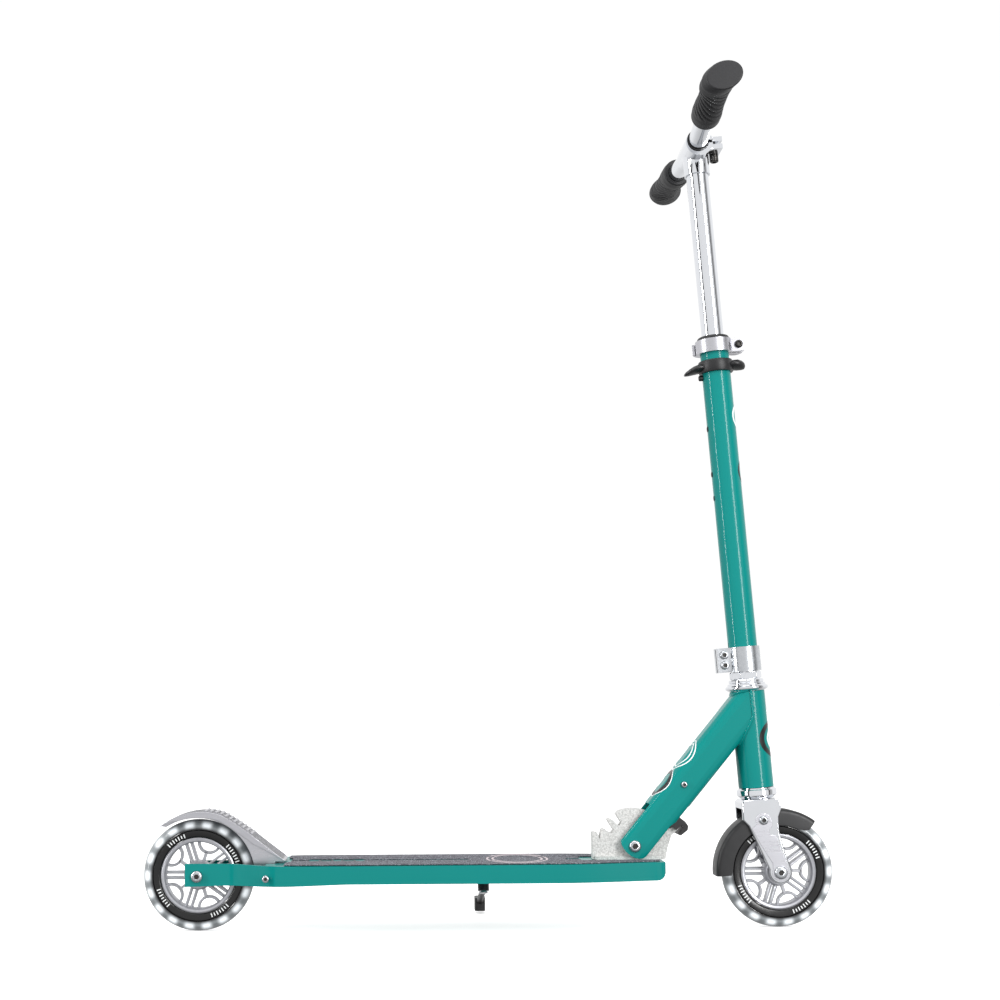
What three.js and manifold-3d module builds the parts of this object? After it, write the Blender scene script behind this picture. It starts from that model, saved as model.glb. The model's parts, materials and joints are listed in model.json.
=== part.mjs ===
// Folding kick scooter with a telescopic T-bar, a fender brake and a kickstand.
// Millimetres, +X forward, +Y to the rider's left, +Z up. The origin is on the floor, midway
// between the wheels, on the scooter's middle plane.

import * as THREE from 'three';
import { mergeVertices } from 'three/addons/utils/BufferGeometryUtils.js';
import Module from 'manifold-3d';

const wasm = await Module();
wasm.setup();

// ---------------------------------------------------------------- driving dimensions

const GAP = 0.3; // clearance between pieces that touch
const SLIDE_GAP = 0.5; // clearance between pieces that run on each other

// wheels
const WHEEL_R = 62.5;
const WHEELBASE = 653.2;
const TYRE_W = 24;
const TYRE_DEPTH = 11.5; // from the tread down to the core ring
const CORE_W = 21;
const CORE_DEPTH = 8.8; // from the core ring down to the rim
const RIM_W = 19;
const RIM_BAND = 5; // radial depth of the rim's outer band
const SPOKE_W = 9; // spoke depth along the axle
const SPOKE_BAR = 2.8;
const SPOKE_SLOT = 3.4; // gap between the two bars of a double spoke
const SPOKES = 5;
const HUB_R = 15;
const BEARING_R = 11;
const BEARING_W = 7;
const AXLE_R = 4;
const REAR_AXLE_HEAD_R = 6.6;
const FRONT_AXLE_HEAD_R = 7.4;
const BOWL_SHARE = 0.468; // of the space between hub and band that a horseshoe's bowl takes

// deck
const DECK_ABOVE_AXLE = 14.5;
const DECK_DEPTH = 20;
const DECK_HALF_W = 59;
const DECK_FRONT_HALF_W = 41;
const DECK_NOSE = 32; // reach ahead of the fold pivot
const DECK_REAR_GAP = 78.6; // from the rear axle to the rear edge of the standing plate
const DECK_PLATE = 4;
const DECK_WALL = 4;
const DECK_NOSE_R = 11;
const STAY_HALF_W = 20.5; // outer face of a rear stay at the axle
const STAY_END = 13.5; // stay length behind the axle
const STAY_DROP = 6; // how far a stay's lower edge sits below the deck's
const TAPE_T = 0.9;
const TAPE_CLEAR = 1; // between a strip of tape and the fold tube beside it
const TAPE_MARGIN = 5; // bare strip along the deck's edge
const TAPE_CORNER = 8;

// fold bracket and pivot
const PIVOT_SETBACK = 148.6; // behind the steering axis, at the level of the axles
const PIVOT_HEIGHT = 15.8; // above the deck
const PIVOT_R = 5;
const PIVOT_HEAD_R = 6.6;
const BRACKET_W = 16;
const BRACKET_FLANGE_HALF_W = 14;
const BRACKET_FLANGE_H = 4;
const BRACKET_R = 41.5; // radius of the toothed sector
const NOTCH_R = 28.5; // radius of the notches' floors
const PIN_ANGLE = 62; // direction of the riding notch from the pivot
const PIN_R = 3;

// down tube
const TUBE_ANGLE = 50.5;
const TUBE_ABOVE = 17.2; // upper face, from the line through the pivot
const TUBE_BELOW = 21.6; // lower face
const TUBE_HALF_W = 20;
const TUBE_WALL = 3.6;
const TUBE_CORNER = 11;
const CHEEK_DEPTH = 17.2; // lower face of the forked end
const CHEEK_END = 11.4;
const CHEEK_LENGTH = 47; // reach of the fork before the tube closes
const LATCH_TRAVEL = 13.5;
const LATCH_ARM = 4.5; // thickness of each arm beside the bracket
const GUIDE_BOLT_X = 88.5; // bolt that carries the latch spring, along the tube
const GUIDE_BOLT_R = 2;
const GUIDE_BOLT_HEAD_R = 3.6;

// steering axis, measured upwards along it from the level of the axles
const FORK_OFFSET = 14; // front axle ahead of the steering axis, at the level of the axles
const STEER_TILT = 4.25;
const CROWN_BASE = 72;
const CROWN_TOP = 82;
const CUP_H = 12;
const HEAD_BASE = 94.6;
const HEAD_TOP = 203.9;
const HEAD_WALL = 3.5;
const HEAD_PLAY = 1.7; // between the steerer and the head tube's bore
const STEERER_WALL = 2.5;
const UPPER_CUP_H = 8.2;
const CUP_FLANGE = 4.4; // the upper cup's reach beyond the head tube
const LOCK_RING_H = 4.3;
const HEX_H = 8.7;
const HEX_WALL = 3.9;
const CLAMP_BOLT_R = 2.5;
const CLAMP_SLIT_HALF = 1.6;
const STEM_CLAMP_H = 27.7;
const STEM_CLAMP_WALL = 2;
const STEM_EAR_L = 15.2; // reach of the clamp's ears beyond the stem
const STEM_EAR_HALF = 9;
const STEM_BOLT_OUT = 7.7; // bolts' distance beyond the stem
const STEM_BOLT_SPACING = 11.8;
const STEM_BOLT_HEAD_R = 4.9;
const STEM_R = 16.3;
const STEM_WALL = 1.5;
const STEM_TOP = 610;
const STEM_SLIT_HALF = 1.2;
const SEAL_H = 4.6;
const SEAL_SKIRT = 20; // how far the seal ring reaches down into the tube
const COLLAR_H = 15.3;
const COLLAR_WALL = 4.4;
const COLLAR_EAR_L = 12; // reach of the collar's ears beyond it
const COLLAR_EAR_HALF = 9;
const COLLAR_BOLT_HEAD_R = 4.6;
const LEVER_H = 13;
const LEVER_T = 3;
const CAM_R = 6;
const BAR_TUBE_R = 12.7;
const BAR_TUBE_WALL = 1.5;
const BAR_TUBE_BELOW_BUTTON = 40;
const BUSHING_H = 20;
const BUTTON_LEVELS = [567.5, 507.5, 454.5];
const BUTTON_R = 3.3;
const BUTTON_PROUD = 4.6;
const WING_BASE = 572;
const WING_H = 14;
const WING_RING_WALL = 3.2;
const BAR_LEVEL = 836.3; // height of the handlebar's axis

// handlebar
const BAR_HALF_W = 182;
const BAR_R = 11;
const BAR_WALL = 1.6;
const BAR_RISE = 4.4;
const BAR_SWEEP = 2.6;
const GRIP_LENGTH = 108;
const GRIP_R = 17;
const TEE_HALF_W = 29;
const TEE_WALL = 4.6;
const TEE_NECK_WALL = 2.2;
const TEE_NECK_H = 30;
const TEE_EAR_REACH = 12; // ahead of the barrel
const TEE_EAR_HALF_H = 7;
const TEE_BOLT_R = 3;
const TEE_BOLT_HEAD_R = 5;
const SHIM_T = 1.1;

// fork
const FORK_PLATE = 4;
const FORK_HALF_W = 19.6;
const FENDER_SCREW_X = 0.2; // ahead of the steering axis
const FENDER_SCREW_DROP = 4.1; // below the tyre's top
const FENDER_SCREW_R = 2.4;
const FENDER_SCREW_HEAD_R = 5.1;
const EDGE_BEVEL = 1.2; // on the fork and the front fender

// fenders
const FENDER_CLEAR = 8; // from the tyre to the fender's outer face
const FENDER_T = 2.4;
const FENDER_HALF_W = 15;
const FENDER_SKIRT = 18.5; // depth of the fender's sides
const FENDER_START = 53.5; // degrees from the front, at the front end
const FENDER_END = 184;
const BRAKE_PIVOT_AHEAD = 80.1; // of the rear axle
const BRAKE_PIVOT_DROP = 14; // below the top of the deck
const BRAKE_GAP = 2.6;
const BRAKE_HALF_W = 24;
const BRAKE_WALL = 4;
const BRAKE_TOE = 19; // reach of the toe ahead of the pivot
const BRAKE_PIN_R = 2.5;
const BRAKE_PIN_HEAD_R = 4;
const BRAKE_SLEEVE_R = 6.5;
const BRAKE_RIDGES = 7;

// kickstand
const STAND_X = -4;
const STAND_Y = 28;
const STAND_DROP = 14; // hinge below the deck's underside
const STAND_REACH = 128;
const STAND_FOOT_Z = 3.6; // height of the foot's sole, so that the scooter leans on it
const LEG_R = 3.9;
const STAND_HUB_R = 6.5;
const STAND_HUB_H = 8.4;
const STAND_NUT_H = 6.5;
const STAND_PEG_R = 3;
const STAND_MOUNT_HALF = 17; // the mounting block's half length along the deck
const FOOT_SIZE = [12.7, 22, 15.5];

// ---------------------------------------------------------------- derived places

const AXLE_Z = WHEEL_R;
const FRONT_X = WHEELBASE / 2;
const REAR_X = -WHEELBASE / 2;
const CORE_R = WHEEL_R - TYRE_DEPTH;
const RIM_R = CORE_R - CORE_DEPTH;
const STEER_X = FRONT_X - FORK_OFFSET;
const DECK_TOP = AXLE_Z + DECK_ABOVE_AXLE;
const DECK_BOTTOM = DECK_TOP - DECK_DEPTH;
const PIVOT_X = STEER_X - PIVOT_SETBACK;
const PIVOT_Z = DECK_TOP + PIVOT_HEIGHT;
const DECK_FRONT = PIVOT_X + DECK_NOSE;
const DECK_REAR = REAR_X + DECK_REAR_GAP;
const BRAKE_PIVOT_X = REAR_X + BRAKE_PIVOT_AHEAD;
const BRAKE_PIVOT_Z = DECK_TOP - BRAKE_PIVOT_DROP;
const STAND_Z = DECK_BOTTOM - STAND_DROP;
const STEERER_R = STEM_R - STEM_WALL - SLIDE_GAP;
const HEAD_BORE = STEERER_R + HEAD_PLAY;
const HEAD_R = HEAD_BORE + HEAD_WALL;
const HEX_R = STEERER_R + HEX_WALL;
const FENDER_R = WHEEL_R + FENDER_CLEAR;
const FENDER_SCREW_Z = WHEEL_R - FENDER_SCREW_DROP;
const STEM_EAR_REACH = STEM_R + STEM_EAR_L;
const STEM_BOLT_REACH = STEM_R + STEM_BOLT_OUT;
const COLLAR_R = STEM_R + GAP + COLLAR_WALL;
const COLLAR_EAR_REACH = COLLAR_R + COLLAR_EAR_L;
const rad = THREE.MathUtils.degToRad;

const stemMatrix = new THREE.Matrix4()
  .makeRotationY(-rad(STEER_TILT))
  .setPosition(STEER_X, 0, AXLE_Z);
const tubeMatrix = new THREE.Matrix4()
  .makeRotationY(-rad(TUBE_ANGLE))
  .setPosition(PIVOT_X, 0, PIVOT_Z);

// Front axle in the steering frame: x forward of the axis, z along it.
const frontAxle = new THREE.Vector3(FRONT_X, 0, AXLE_Z).applyMatrix4(stemMatrix.clone().invert());

const cupTop = HEAD_BASE - GAP;
const upperCupBase = HEAD_TOP + GAP;
const lockRingBase = upperCupBase + UPPER_CUP_H + GAP;
const hexBase = lockRingBase + LOCK_RING_H + GAP;
const stemClampBase = hexBase + HEX_H + SLIDE_GAP;
const stemClampTop = stemClampBase + STEM_CLAMP_H;
const stemBore = STEM_R - STEM_WALL;
const collarBase = STEM_TOP - COLLAR_H;
const barTubeBase = BUTTON_LEVELS[0] - BAR_TUBE_BELOW_BUTTON;
const hubHalf = TYRE_W / 2;
const stayInner = STAY_HALF_W - DECK_WALL;
const tapeTop = DECK_TOP + GAP + TAPE_T;
const tapeInner = TUBE_HALF_W + TAPE_CLEAR;
const tapeRear = BRAKE_PIVOT_X + BRAKE_TOE + SLIDE_GAP; // clear of the brake's toe

// ---------------------------------------------------------------- materials

const finish = (color, roughness, metalness, extra = {}) =>
  ({ color, roughness, metalness, ...extra });
const TEAL = finish(0x00857b, 0.35, 0.25);
const CHROME = finish(0xd9dce0, 0.12, 1);
const STEEL = finish(0xc3c5c8, 0.3, 1);
const CAST = finish(0xd2d2d0, 0.55, 0.8);
const POLISHED = finish(0xcfcfd3, 0.25, 0.95);
const BLACK = finish(0x1a1a1c, 0.5, 0);
const GRIP = finish(0x29292d, 0.7, 0);
const TAPE = finish(0x3a3a40, 0.95, 0);
const RIM = finish(0xb4b6bb, 0.35, 0.8);
const CLEAR = finish(0xe6edf2, 0.15, 0, { transparent: true, opacity: 0.6 });

// ---------------------------------------------------------------- geometry helpers

function toSolid(geometry) {
  const bare = geometry.clone();
  bare.deleteAttribute('normal');
  bare.deleteAttribute('uv');
  const merged = mergeVertices(bare, 1e-3);
  const corners = merged.index.array;
  const triangles = [];
  for (let i = 0; i < corners.length; i += 3) {
    const [a, b, c] = corners.slice(i, i + 3);
    if (a !== b && b !== c && c !== a) triangles.push(a, b, c);
  }
  const mesh = new wasm.Mesh({
    numProp: 3,
    vertProperties: new Float32Array(merged.attributes.position.array),
    triVerts: new Uint32Array(triangles),
  });
  return new wasm.Manifold(mesh);
}

function toGeometry(solid) {
  const mesh = solid.getMesh();
  const geometry = new THREE.BufferGeometry();
  const positions = new Float32Array(mesh.vertProperties);
  geometry.setAttribute('position', new THREE.BufferAttribute(positions, 3));
  geometry.setIndex(new THREE.BufferAttribute(new Uint32Array(mesh.triVerts), 1));
  geometry.computeVertexNormals();
  return geometry;
}

const join = (first, ...rest) =>
  toGeometry(rest.reduce((sum, part) => sum.add(toSolid(part)), toSolid(first)));
const cut = (first, ...rest) =>
  toGeometry(rest.reduce((sum, part) => sum.subtract(toSolid(part)), toSolid(first)));
const common = (first, second) => toGeometry(toSolid(first).intersect(toSolid(second)));

// Closed ring or solid of revolution about +Z from [radius, height] points.
function turned(points, segments = 24) {
  const profile = points.map(([r, z]) => new THREE.Vector2(r, z));
  if (points[0][0] > 0) profile.push(profile[0].clone());
  return new THREE.LatheGeometry(profile, segments).rotateX(Math.PI / 2);
}

// Solid cylinder or tube along +Z, between two heights.
function bar(radius, base, top, bore = 0, segments = 20) {
  if (bore === 0) return turned([[0, base], [radius, base], [radius, top], [0, top]], segments);
  return turned([[bore, base], [radius, base], [radius, top], [bore, top]], segments);
}

// The same along +Y, centred on (x, z).
const crossBar = (radius, y0, y1, x, z, bore = 0, segments = 14) =>
  bar(radius, y0, y1, bore, segments).rotateX(-Math.PI / 2).translate(x, 0, z);

function box(x0, x1, y0, y1, z0, z1) {
  return new THREE.BoxGeometry(x1 - x0, y1 - y0, z1 - z0)
    .translate((x0 + x1) / 2, (y0 + y1) / 2, (z0 + z1) / 2);
}

const shapeOf = (points) => new THREE.Shape(points.map(([x, y]) => new THREE.Vector2(x, y)));

// Side view outline in X and Z, extruded from y0 to y1.
function sideCut(shape, y0, y1, bevel = 0) {
  const options = {
    depth: y1 - y0 - 2 * bevel,
    bevelEnabled: bevel > 0,
    bevelSize: bevel,
    bevelThickness: bevel,
    bevelOffset: -bevel,
    bevelSegments: 1,
  };
  return new THREE.ExtrudeGeometry(shape, options)
    .rotateX(Math.PI / 2).translate(0, y1 - bevel, 0);
}

// Plan view outline in X and Y, extruded from z0 to z1.
const planCut = (shape, z0, z1) =>
  new THREE.ExtrudeGeometry(shape, { depth: z1 - z0, bevelEnabled: false }).translate(0, 0, z0);

const polar = (radius, degrees) => [radius * Math.cos(rad(degrees)), radius * Math.sin(rad(degrees))];

const arcPoints = (cx, cy, radius, from, to, steps) =>
  Array.from({ length: steps + 1 }, (_, i) => {
    const [x, y] = polar(radius, from + ((to - from) * i) / steps);
    return [cx + x, cy + y];
  });

// Rectangle with round corners, centred on (cx, cy).
function roundedRect(width, height, radius, cx = 0, cy = 0, steps = 5) {
  const r = Math.min(radius, width / 2 - 0.1, height / 2 - 0.1);
  const corners = [[1, 1, 0], [-1, 1, 90], [-1, -1, 180], [1, -1, 270]];
  return shapeOf(corners.flatMap(([sx, sy, start]) =>
    arcPoints(cx + sx * (width / 2 - r), cy + sy * (height / 2 - r), r, start, start + 90, steps)));
}

// Mirror image in the scooter's middle plane, with its triangles turned to face outwards again.
function mirrorY(geometry) {
  const mirrored = toGeometry(toSolid(geometry)).scale(1, -1, 1);
  const corners = mirrored.index.array;
  for (let i = 0; i < corners.length; i += 3) {
    [corners[i], corners[i + 1]] = [corners[i + 1], corners[i]];
  }
  mirrored.computeVertexNormals();
  return mirrored;
}

const scooter = new THREE.Group();
const steering = new THREE.Group();
steering.applyMatrix4(stemMatrix);
const foldTube = new THREE.Group();
foldTube.applyMatrix4(tubeMatrix);
scooter.add(steering, foldTube);

function place(parent, name, geometry, look) {
  const mesh = new THREE.Mesh(toGeometry(toSolid(geometry)), new THREE.MeshStandardMaterial(look));
  mesh.name = name;
  parent.add(mesh);
}

// ---------------------------------------------------------------- wheels

// All wheel pieces are turned about +Y with their centre at the origin.
const aboutAxle = (geometry) => geometry.rotateX(-Math.PI / 2);

function tyreGeometry() {
  const half = TYRE_W / 2;
  const crown = arcPoints(WHEEL_R - half, 0, half, -60, 60, 6);
  const inner = CORE_R + GAP;
  return aboutAxle(turned([[inner, -half + 1.5], ...crown, [inner, half - 1.5]], 36));
}

function coreGeometry() {
  const half = CORE_W / 2;
  return aboutAxle(bar(CORE_R, -half, half, RIM_R + GAP + 0.3, 30));
}

// Bar of a spoke from the hub out to a reach, centred on y.
const spokeBar = (reach, y) =>
  box(HUB_R - 2, reach, y - SPOKE_BAR / 2, y + SPOKE_BAR / 2, -SPOKE_W / 2, SPOKE_W / 2);

// Horseshoe between two double spokes: a short stem and a bowl that opens to the rim.
function horseshoe() {
  const bowlX = RIM_R - RIM_BAND / 2 - 1.5;
  const bowlR = (RIM_R - RIM_BAND - HUB_R) * BOWL_SHARE;
  const outer = arcPoints(bowlX, 0, bowlR + SPOKE_BAR, 96, 264, 5);
  const inner = arcPoints(bowlX, 0, bowlR, 264, 96, 5);
  const bowl = planCut(shapeOf([...outer, ...inner]), -SPOKE_W / 2, SPOKE_W / 2);
  return [bowl, spokeBar(bowlX - bowlR - 0.5, 0)];
}

function rimGeometry() {
  const half = RIM_W / 2;
  const seat = hubHalf - BEARING_W;
  const bore = BEARING_R + GAP;
  const band = bar(RIM_R, -half, half, RIM_R - RIM_BAND, 30);
  const hub = turned([
    [AXLE_R + 2, -seat], [bore, -seat], [bore, -hubHalf], [HUB_R, -hubHalf],
    [HUB_R, hubHalf], [bore, hubHalf], [bore, seat], [AXLE_R + 2, seat],
  ], 20);
  const pieces = [hub];
  const reach = RIM_R - RIM_BAND / 2;
  for (let i = 0; i < SPOKES; i += 1) {
    const turn = Math.PI + (i * 2 * Math.PI) / SPOKES;
    for (const side of [-1, 1]) {
      const y = (side * (SPOKE_SLOT + SPOKE_BAR)) / 2;
      pieces.push(spokeBar(reach, y).rotateZ(turn));
    }
    for (const piece of horseshoe()) pieces.push(piece.rotateZ(turn + Math.PI / SPOKES));
  }
  return aboutAxle(join(band, ...pieces));
}

function bearingGeometry() {
  const half = (BEARING_W - GAP) / 2;
  return aboutAxle(bar(BEARING_R, -half, half, AXLE_R + GAP, 20));
}

function wheel(prefix, x) {
  const hub = new THREE.Group();
  hub.position.set(x, 0, AXLE_Z);
  scooter.add(hub);
  place(hub, `${prefix}_tyre`, tyreGeometry(), CLEAR);
  place(hub, `${prefix}_core_ring`, coreGeometry(), BLACK);
  place(hub, `${prefix}_rim`, rimGeometry(), RIM);
  const bearingY = hubHalf - BEARING_W / 2 + GAP / 2;
  place(hub, `${prefix}_bearing_right`, bearingGeometry().translate(0, -bearingY, 0), STEEL);
  place(hub, `${prefix}_bearing_left`, bearingGeometry().translate(0, bearingY, 0), STEEL);
}

// Axle bolt with a domed head on the right and a nut on the left, and its two spacers.
function axle(prefix, x, plateOuter, plateInner, headR) {
  const shank = crossBar(AXLE_R, -plateOuter - 1, plateOuter + 4, x, AXLE_Z);
  const head = turned([
    [0, 0], [headR, 0], [headR, 2.2], [headR * 0.6, 3.6], [headR * 0.45, 3.6],
    [headR * 0.45, 2], [0, 2],
  ], 16).rotateX(Math.PI / 2).translate(x, -plateOuter - GAP, AXLE_Z);
  const nut = bar(headR * 0.95, 0, 4.5, 0, 6)
    .rotateX(-Math.PI / 2).translate(x, plateOuter + GAP, AXLE_Z);
  place(scooter, `${prefix}_axle`, join(shank, head, nut), STEEL);
  const from = hubHalf + GAP * 2;
  const spacer = () => crossBar(AXLE_R + 3, from, plateInner - GAP, x, AXLE_Z, AXLE_R + GAP);
  place(scooter, `${prefix}_spacer_left`, spacer(), STEEL);
  place(scooter, `${prefix}_spacer_right`, mirrorY(spacer()), STEEL);
}

// ---------------------------------------------------------------- deck

// Half outline of the deck in plan, from the nose to the rear end of a stay.
function deckEdge(inset) {
  const half = DECK_HALF_W - inset;
  const nose = DECK_FRONT_HALF_W - inset;
  const stay = STAY_HALF_W - inset;
  const taper = new THREE.CubicBezierCurve(
    new THREE.Vector2(DECK_FRONT - 14, nose), new THREE.Vector2(DECK_FRONT - 50, nose + 7),
    new THREE.Vector2(DECK_FRONT - 80, half), new THREE.Vector2(DECK_FRONT - 125, half));
  const waist = new THREE.CubicBezierCurve(
    new THREE.Vector2(DECK_REAR + 42, half), new THREE.Vector2(DECK_REAR - 8, half),
    new THREE.Vector2(DECK_REAR - 22, stay), new THREE.Vector2(REAR_X + 22, stay));
  const nosePoints = arcPoints(DECK_FRONT - inset - 10, nose - 10, 10, 0, 75, 4);
  return [
    ...nosePoints,
    ...taper.getPoints(8).map((p) => [p.x, p.y]),
    ...waist.getPoints(14).map((p) => [p.x, p.y]),
    [REAR_X - STAY_END, stay],
  ];
}

const wholeOutline = (edge) => [...edge, ...edge.map(([x, y]) => [x, -y]).reverse()];

function deckGeometry() {
  const low = DECK_BOTTOM - STAY_DROP - 1;
  const outer = planCut(shapeOf(wholeOutline(deckEdge(0))), low, DECK_TOP);
  const innerEdge = deckEdge(DECK_WALL);
  innerEdge[innerEdge.length - 1][0] -= 5;
  const hollow = planCut(shapeOf(wholeOutline(innerEdge)), low - 1, DECK_TOP - DECK_PLATE);
  const rearWell = planCut(shapeOf(wholeOutline(innerEdge)), low - 1, DECK_TOP + 1);
  const wellArea = box(REAR_X - 60, DECK_REAR, -DECK_HALF_W, DECK_HALF_W, low - 2, DECK_TOP + 2);
  const side = sideCut(shapeOf([
    [REAR_X - STAY_END, DECK_BOTTOM - STAY_DROP], [REAR_X + 80, DECK_BOTTOM - 3],
    [DECK_REAR + 90, DECK_BOTTOM],
    ...arcPoints(DECK_FRONT - DECK_NOSE_R, DECK_BOTTOM + DECK_NOSE_R, DECK_NOSE_R, -90, 0, 5),
    [DECK_FRONT, DECK_TOP - 1.5], [DECK_FRONT - 1.5, DECK_TOP],
    [REAR_X - STAY_END, DECK_TOP - 0.5],
  ]), -DECK_HALF_W - 5, DECK_HALF_W + 5);
  const shell = common(cut(outer, hollow, common(rearWell, wellArea)), side);
  const ribs = [-24, 24].map((y) =>
    box(DECK_REAR + 30, DECK_FRONT - 30, y - 1.5, y + 1.5, DECK_TOP - 11, DECK_TOP - DECK_PLATE + 1));
  const pins = crossBar(
    BRAKE_PIN_R + GAP, -DECK_HALF_W - 1, DECK_HALF_W + 1, BRAKE_PIVOT_X, BRAKE_PIVOT_Z);
  const axleHole = crossBar(AXLE_R + GAP, -30, 30, REAR_X, AXLE_Z);
  const neckHalf = BRAKE_HALF_W + 1;
  const neck = box(DECK_REAR - 1, BRAKE_PIVOT_X + 8.5, -neckHalf, neckHalf, low, DECK_TOP + 1);
  return cut(join(shell, ...ribs), axleHole, pins, standMountBox(GAP), neck);
}

function tapeGeometry() {
  const edge = deckEdge(TAPE_MARGIN).filter(([x, y]) => x > tapeRear + 1 && y > tapeInner);
  const outline = shapeOf([
    ...edge, [tapeRear, edge[edge.length - 1][1] - 1],
    ...arcPoints(tapeRear + TAPE_CORNER, tapeInner + TAPE_CORNER, TAPE_CORNER, 180, 270, 3),
    [DECK_FRONT - TAPE_MARGIN, tapeInner],
  ]);
  return planCut(outline, tapeTop - TAPE_T, tapeTop);
}

// Cast bracket on a base flange: a sector about the pivot with the riding notch (behind the tube),
// the notches that hold the folded stem at the back, and a bumper in front.
function bracketGeometry() {
  const base = DECK_TOP + GAP - PIVOT_Z;
  const outline = shapeOf([
    [-46, base], [36, base], [38, -4.5], [43, 11], [51.5, 18.5], [45.5, 20.2], [37.6, 17.5],
    ...arcPoints(0, 0, BRACKET_R, 28, 112, 12),
    [-19.2, 35], [-13, 25.4], [-15.2, 22.2], [-17.5, 22.8], [-23, 28.5], [-26.3, 30.7], [-29.2, 28.5],
    [-21.8, 17], [-24.3, 13.5], [-28.2, 15.1], [-32.7, 18.9], [-35.6, 17.7],
    [-37.9, 7.4], [-40.5, 14.3], [-43, 15], [-46, 14.8],
  ]);
  const plate = sideCut(outline, -BRACKET_W / 2, BRACKET_W / 2);
  const foot = roundedRect(78, 2 * BRACKET_FLANGE_HALF_W, 5, -5, 0, 3);
  const flange = planCut(foot, base, base + BRACKET_FLANGE_H);
  const [x, z] = polar(NOTCH_R + PIN_R + GAP, PIN_ANGLE);
  const slot = box(0, 30, -BRACKET_W, BRACKET_W, -PIN_R - GAP, PIN_R + GAP)
    .rotateY(-rad(TUBE_ANGLE)).translate(x, 0, z);
  const seat = crossBar(PIN_R + GAP, -BRACKET_W, BRACKET_W, x, z, 0, 16);
  const bore = crossBar(PIVOT_R + GAP, -BRACKET_W, BRACKET_W, 0, 0);
  return cut(join(plate, flange), slot, seat, bore).translate(PIVOT_X, 0, PIVOT_Z);
}

// Bolt across the middle plane with a socket head on the right and a dome nut on the left.
function throughBolt(shankR, headR, reach, x, z) {
  const shank = crossBar(shankR, -reach - 1, reach + 1, x, z, 0, 12);
  const head = turned([
    [0, 0], [headR, 0], [headR, 2], [headR - 1, 3], [headR * 0.5, 3], [headR * 0.5, 1.4], [0, 1.4],
  ], 12).rotateX(Math.PI / 2).translate(x, -reach - GAP, z);
  const nut = turned([[0, 0], [headR, 0], [headR, 2], [headR - 1, 3], [0, 3]], 12)
    .rotateX(-Math.PI / 2).translate(x, reach + GAP, z);
  return join(shank, head, nut);
}

// Outer face of the deck's side wall at a given x.
function deckHalfWidthAt(x) {
  const edge = deckEdge(0);
  const i = edge.findIndex((p, k) => k > 0 && p[0] <= x && edge[k - 1][0] > x);
  const [[x0, y0], [x1, y1]] = [edge[i - 1], edge[i]];
  return y0 + ((y1 - y0) * (x - x0)) / (x1 - x0);
}

// ---------------------------------------------------------------- rear brake

function brakeGeometry() {
  const px = BRAKE_PIVOT_X;
  const toe = tapeTop + GAP;
  // Angle round the wheel and height above its tread, along the top down to the toe.
  const over = [
    [126, 7.3], [112.6, 7.9], [98.9, 8.5], [86, 9.5], [74.9, 10.5], [63.9, 10.4], [39.9, 13.1],
  ];
  const onWheel = (angle, rise) => {
    const [x, z] = polar(WHEEL_R + rise, angle);
    return [REAR_X + x, AXLE_Z + z];
  };
  const top = new THREE.CatmullRomCurve3([
    ...over.map(([angle, rise]) => onWheel(angle, rise)), [px - 8, toe + 21.5],
    [px + BRAKE_TOE, toe + 1],
  ].map(([x, z]) => new THREE.Vector3(x, z, 0)), false, 'centripetal');
  const topPoints = top.getPoints(18).map((p) => [p.x, p.y]);
  const outline = shapeOf([
    ...topPoints, [px + BRAKE_TOE - 1, toe], [px + 8, toe], [px + 6, BRAKE_PIVOT_Z - 6],
    [px - 8, BRAKE_PIVOT_Z - 7], [REAR_X + WHEEL_R - 2.5, AXLE_Z],
    [REAR_X - 20, AXLE_Z + WHEEL_R - 2.5],
  ]);
  const body = sideCut(outline, -BRAKE_HALF_W, BRAKE_HALF_W);
  const clear = crossBar(
    WHEEL_R + BRAKE_GAP, -BRAKE_HALF_W - 1, BRAKE_HALF_W + 1, REAR_X, AXLE_Z, 0, 48);
  const room = BRAKE_HALF_W - BRAKE_WALL;
  const inside = sideCut(shapeOf([
    [REAR_X, AXLE_Z + WHEEL_R - 6.5], [REAR_X + 20, 2 * WHEEL_R - 1], [REAR_X + 46, 2 * WHEEL_R - 14],
    [px - 8, DECK_TOP + 12.5], [px - 1, DECK_TOP - 3], [px - 1, DECK_TOP - 5], [px - 60, DECK_BOTTOM - 7],
  ]), -room, room);
  const ears = box(px - 8, px + 8, -room, room, BRAKE_PIVOT_Z - 9, BRAKE_PIVOT_Z + 7);
  const ridges = Array.from({ length: BRAKE_RIDGES }, (_, i) => {
    const at = top.getPointAt(0.5 + i * 0.06);
    return crossBar(1.1, -BRAKE_HALF_W + 5, BRAKE_HALF_W - 5, at.x, at.y + 0.2, 0, 6);
  });
  const sleeve = crossBar(BRAKE_SLEEVE_R, -room - 1, room + 1, px, BRAKE_PIVOT_Z);
  const pinHole = crossBar(BRAKE_PIN_R + GAP, -60, 60, px, BRAKE_PIVOT_Z, 0, 12);
  const springRoom = box(px - 12, px + 12, -8, 8, BRAKE_PIVOT_Z - 12, BRAKE_PIVOT_Z + 8.5);
  const hollowed = cut(body, clear, inside, ears);
  return cut(join(hollowed, sleeve, ...ridges), springRoom, pinHole);
}

// ---------------------------------------------------------------- fold frame

// The tube's own frame: x along it from the pivot, z away from its lower face.
const toTube = tubeMatrix.clone().invert();
const stemInTube = stemMatrix.clone().premultiply(toTube);

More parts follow.
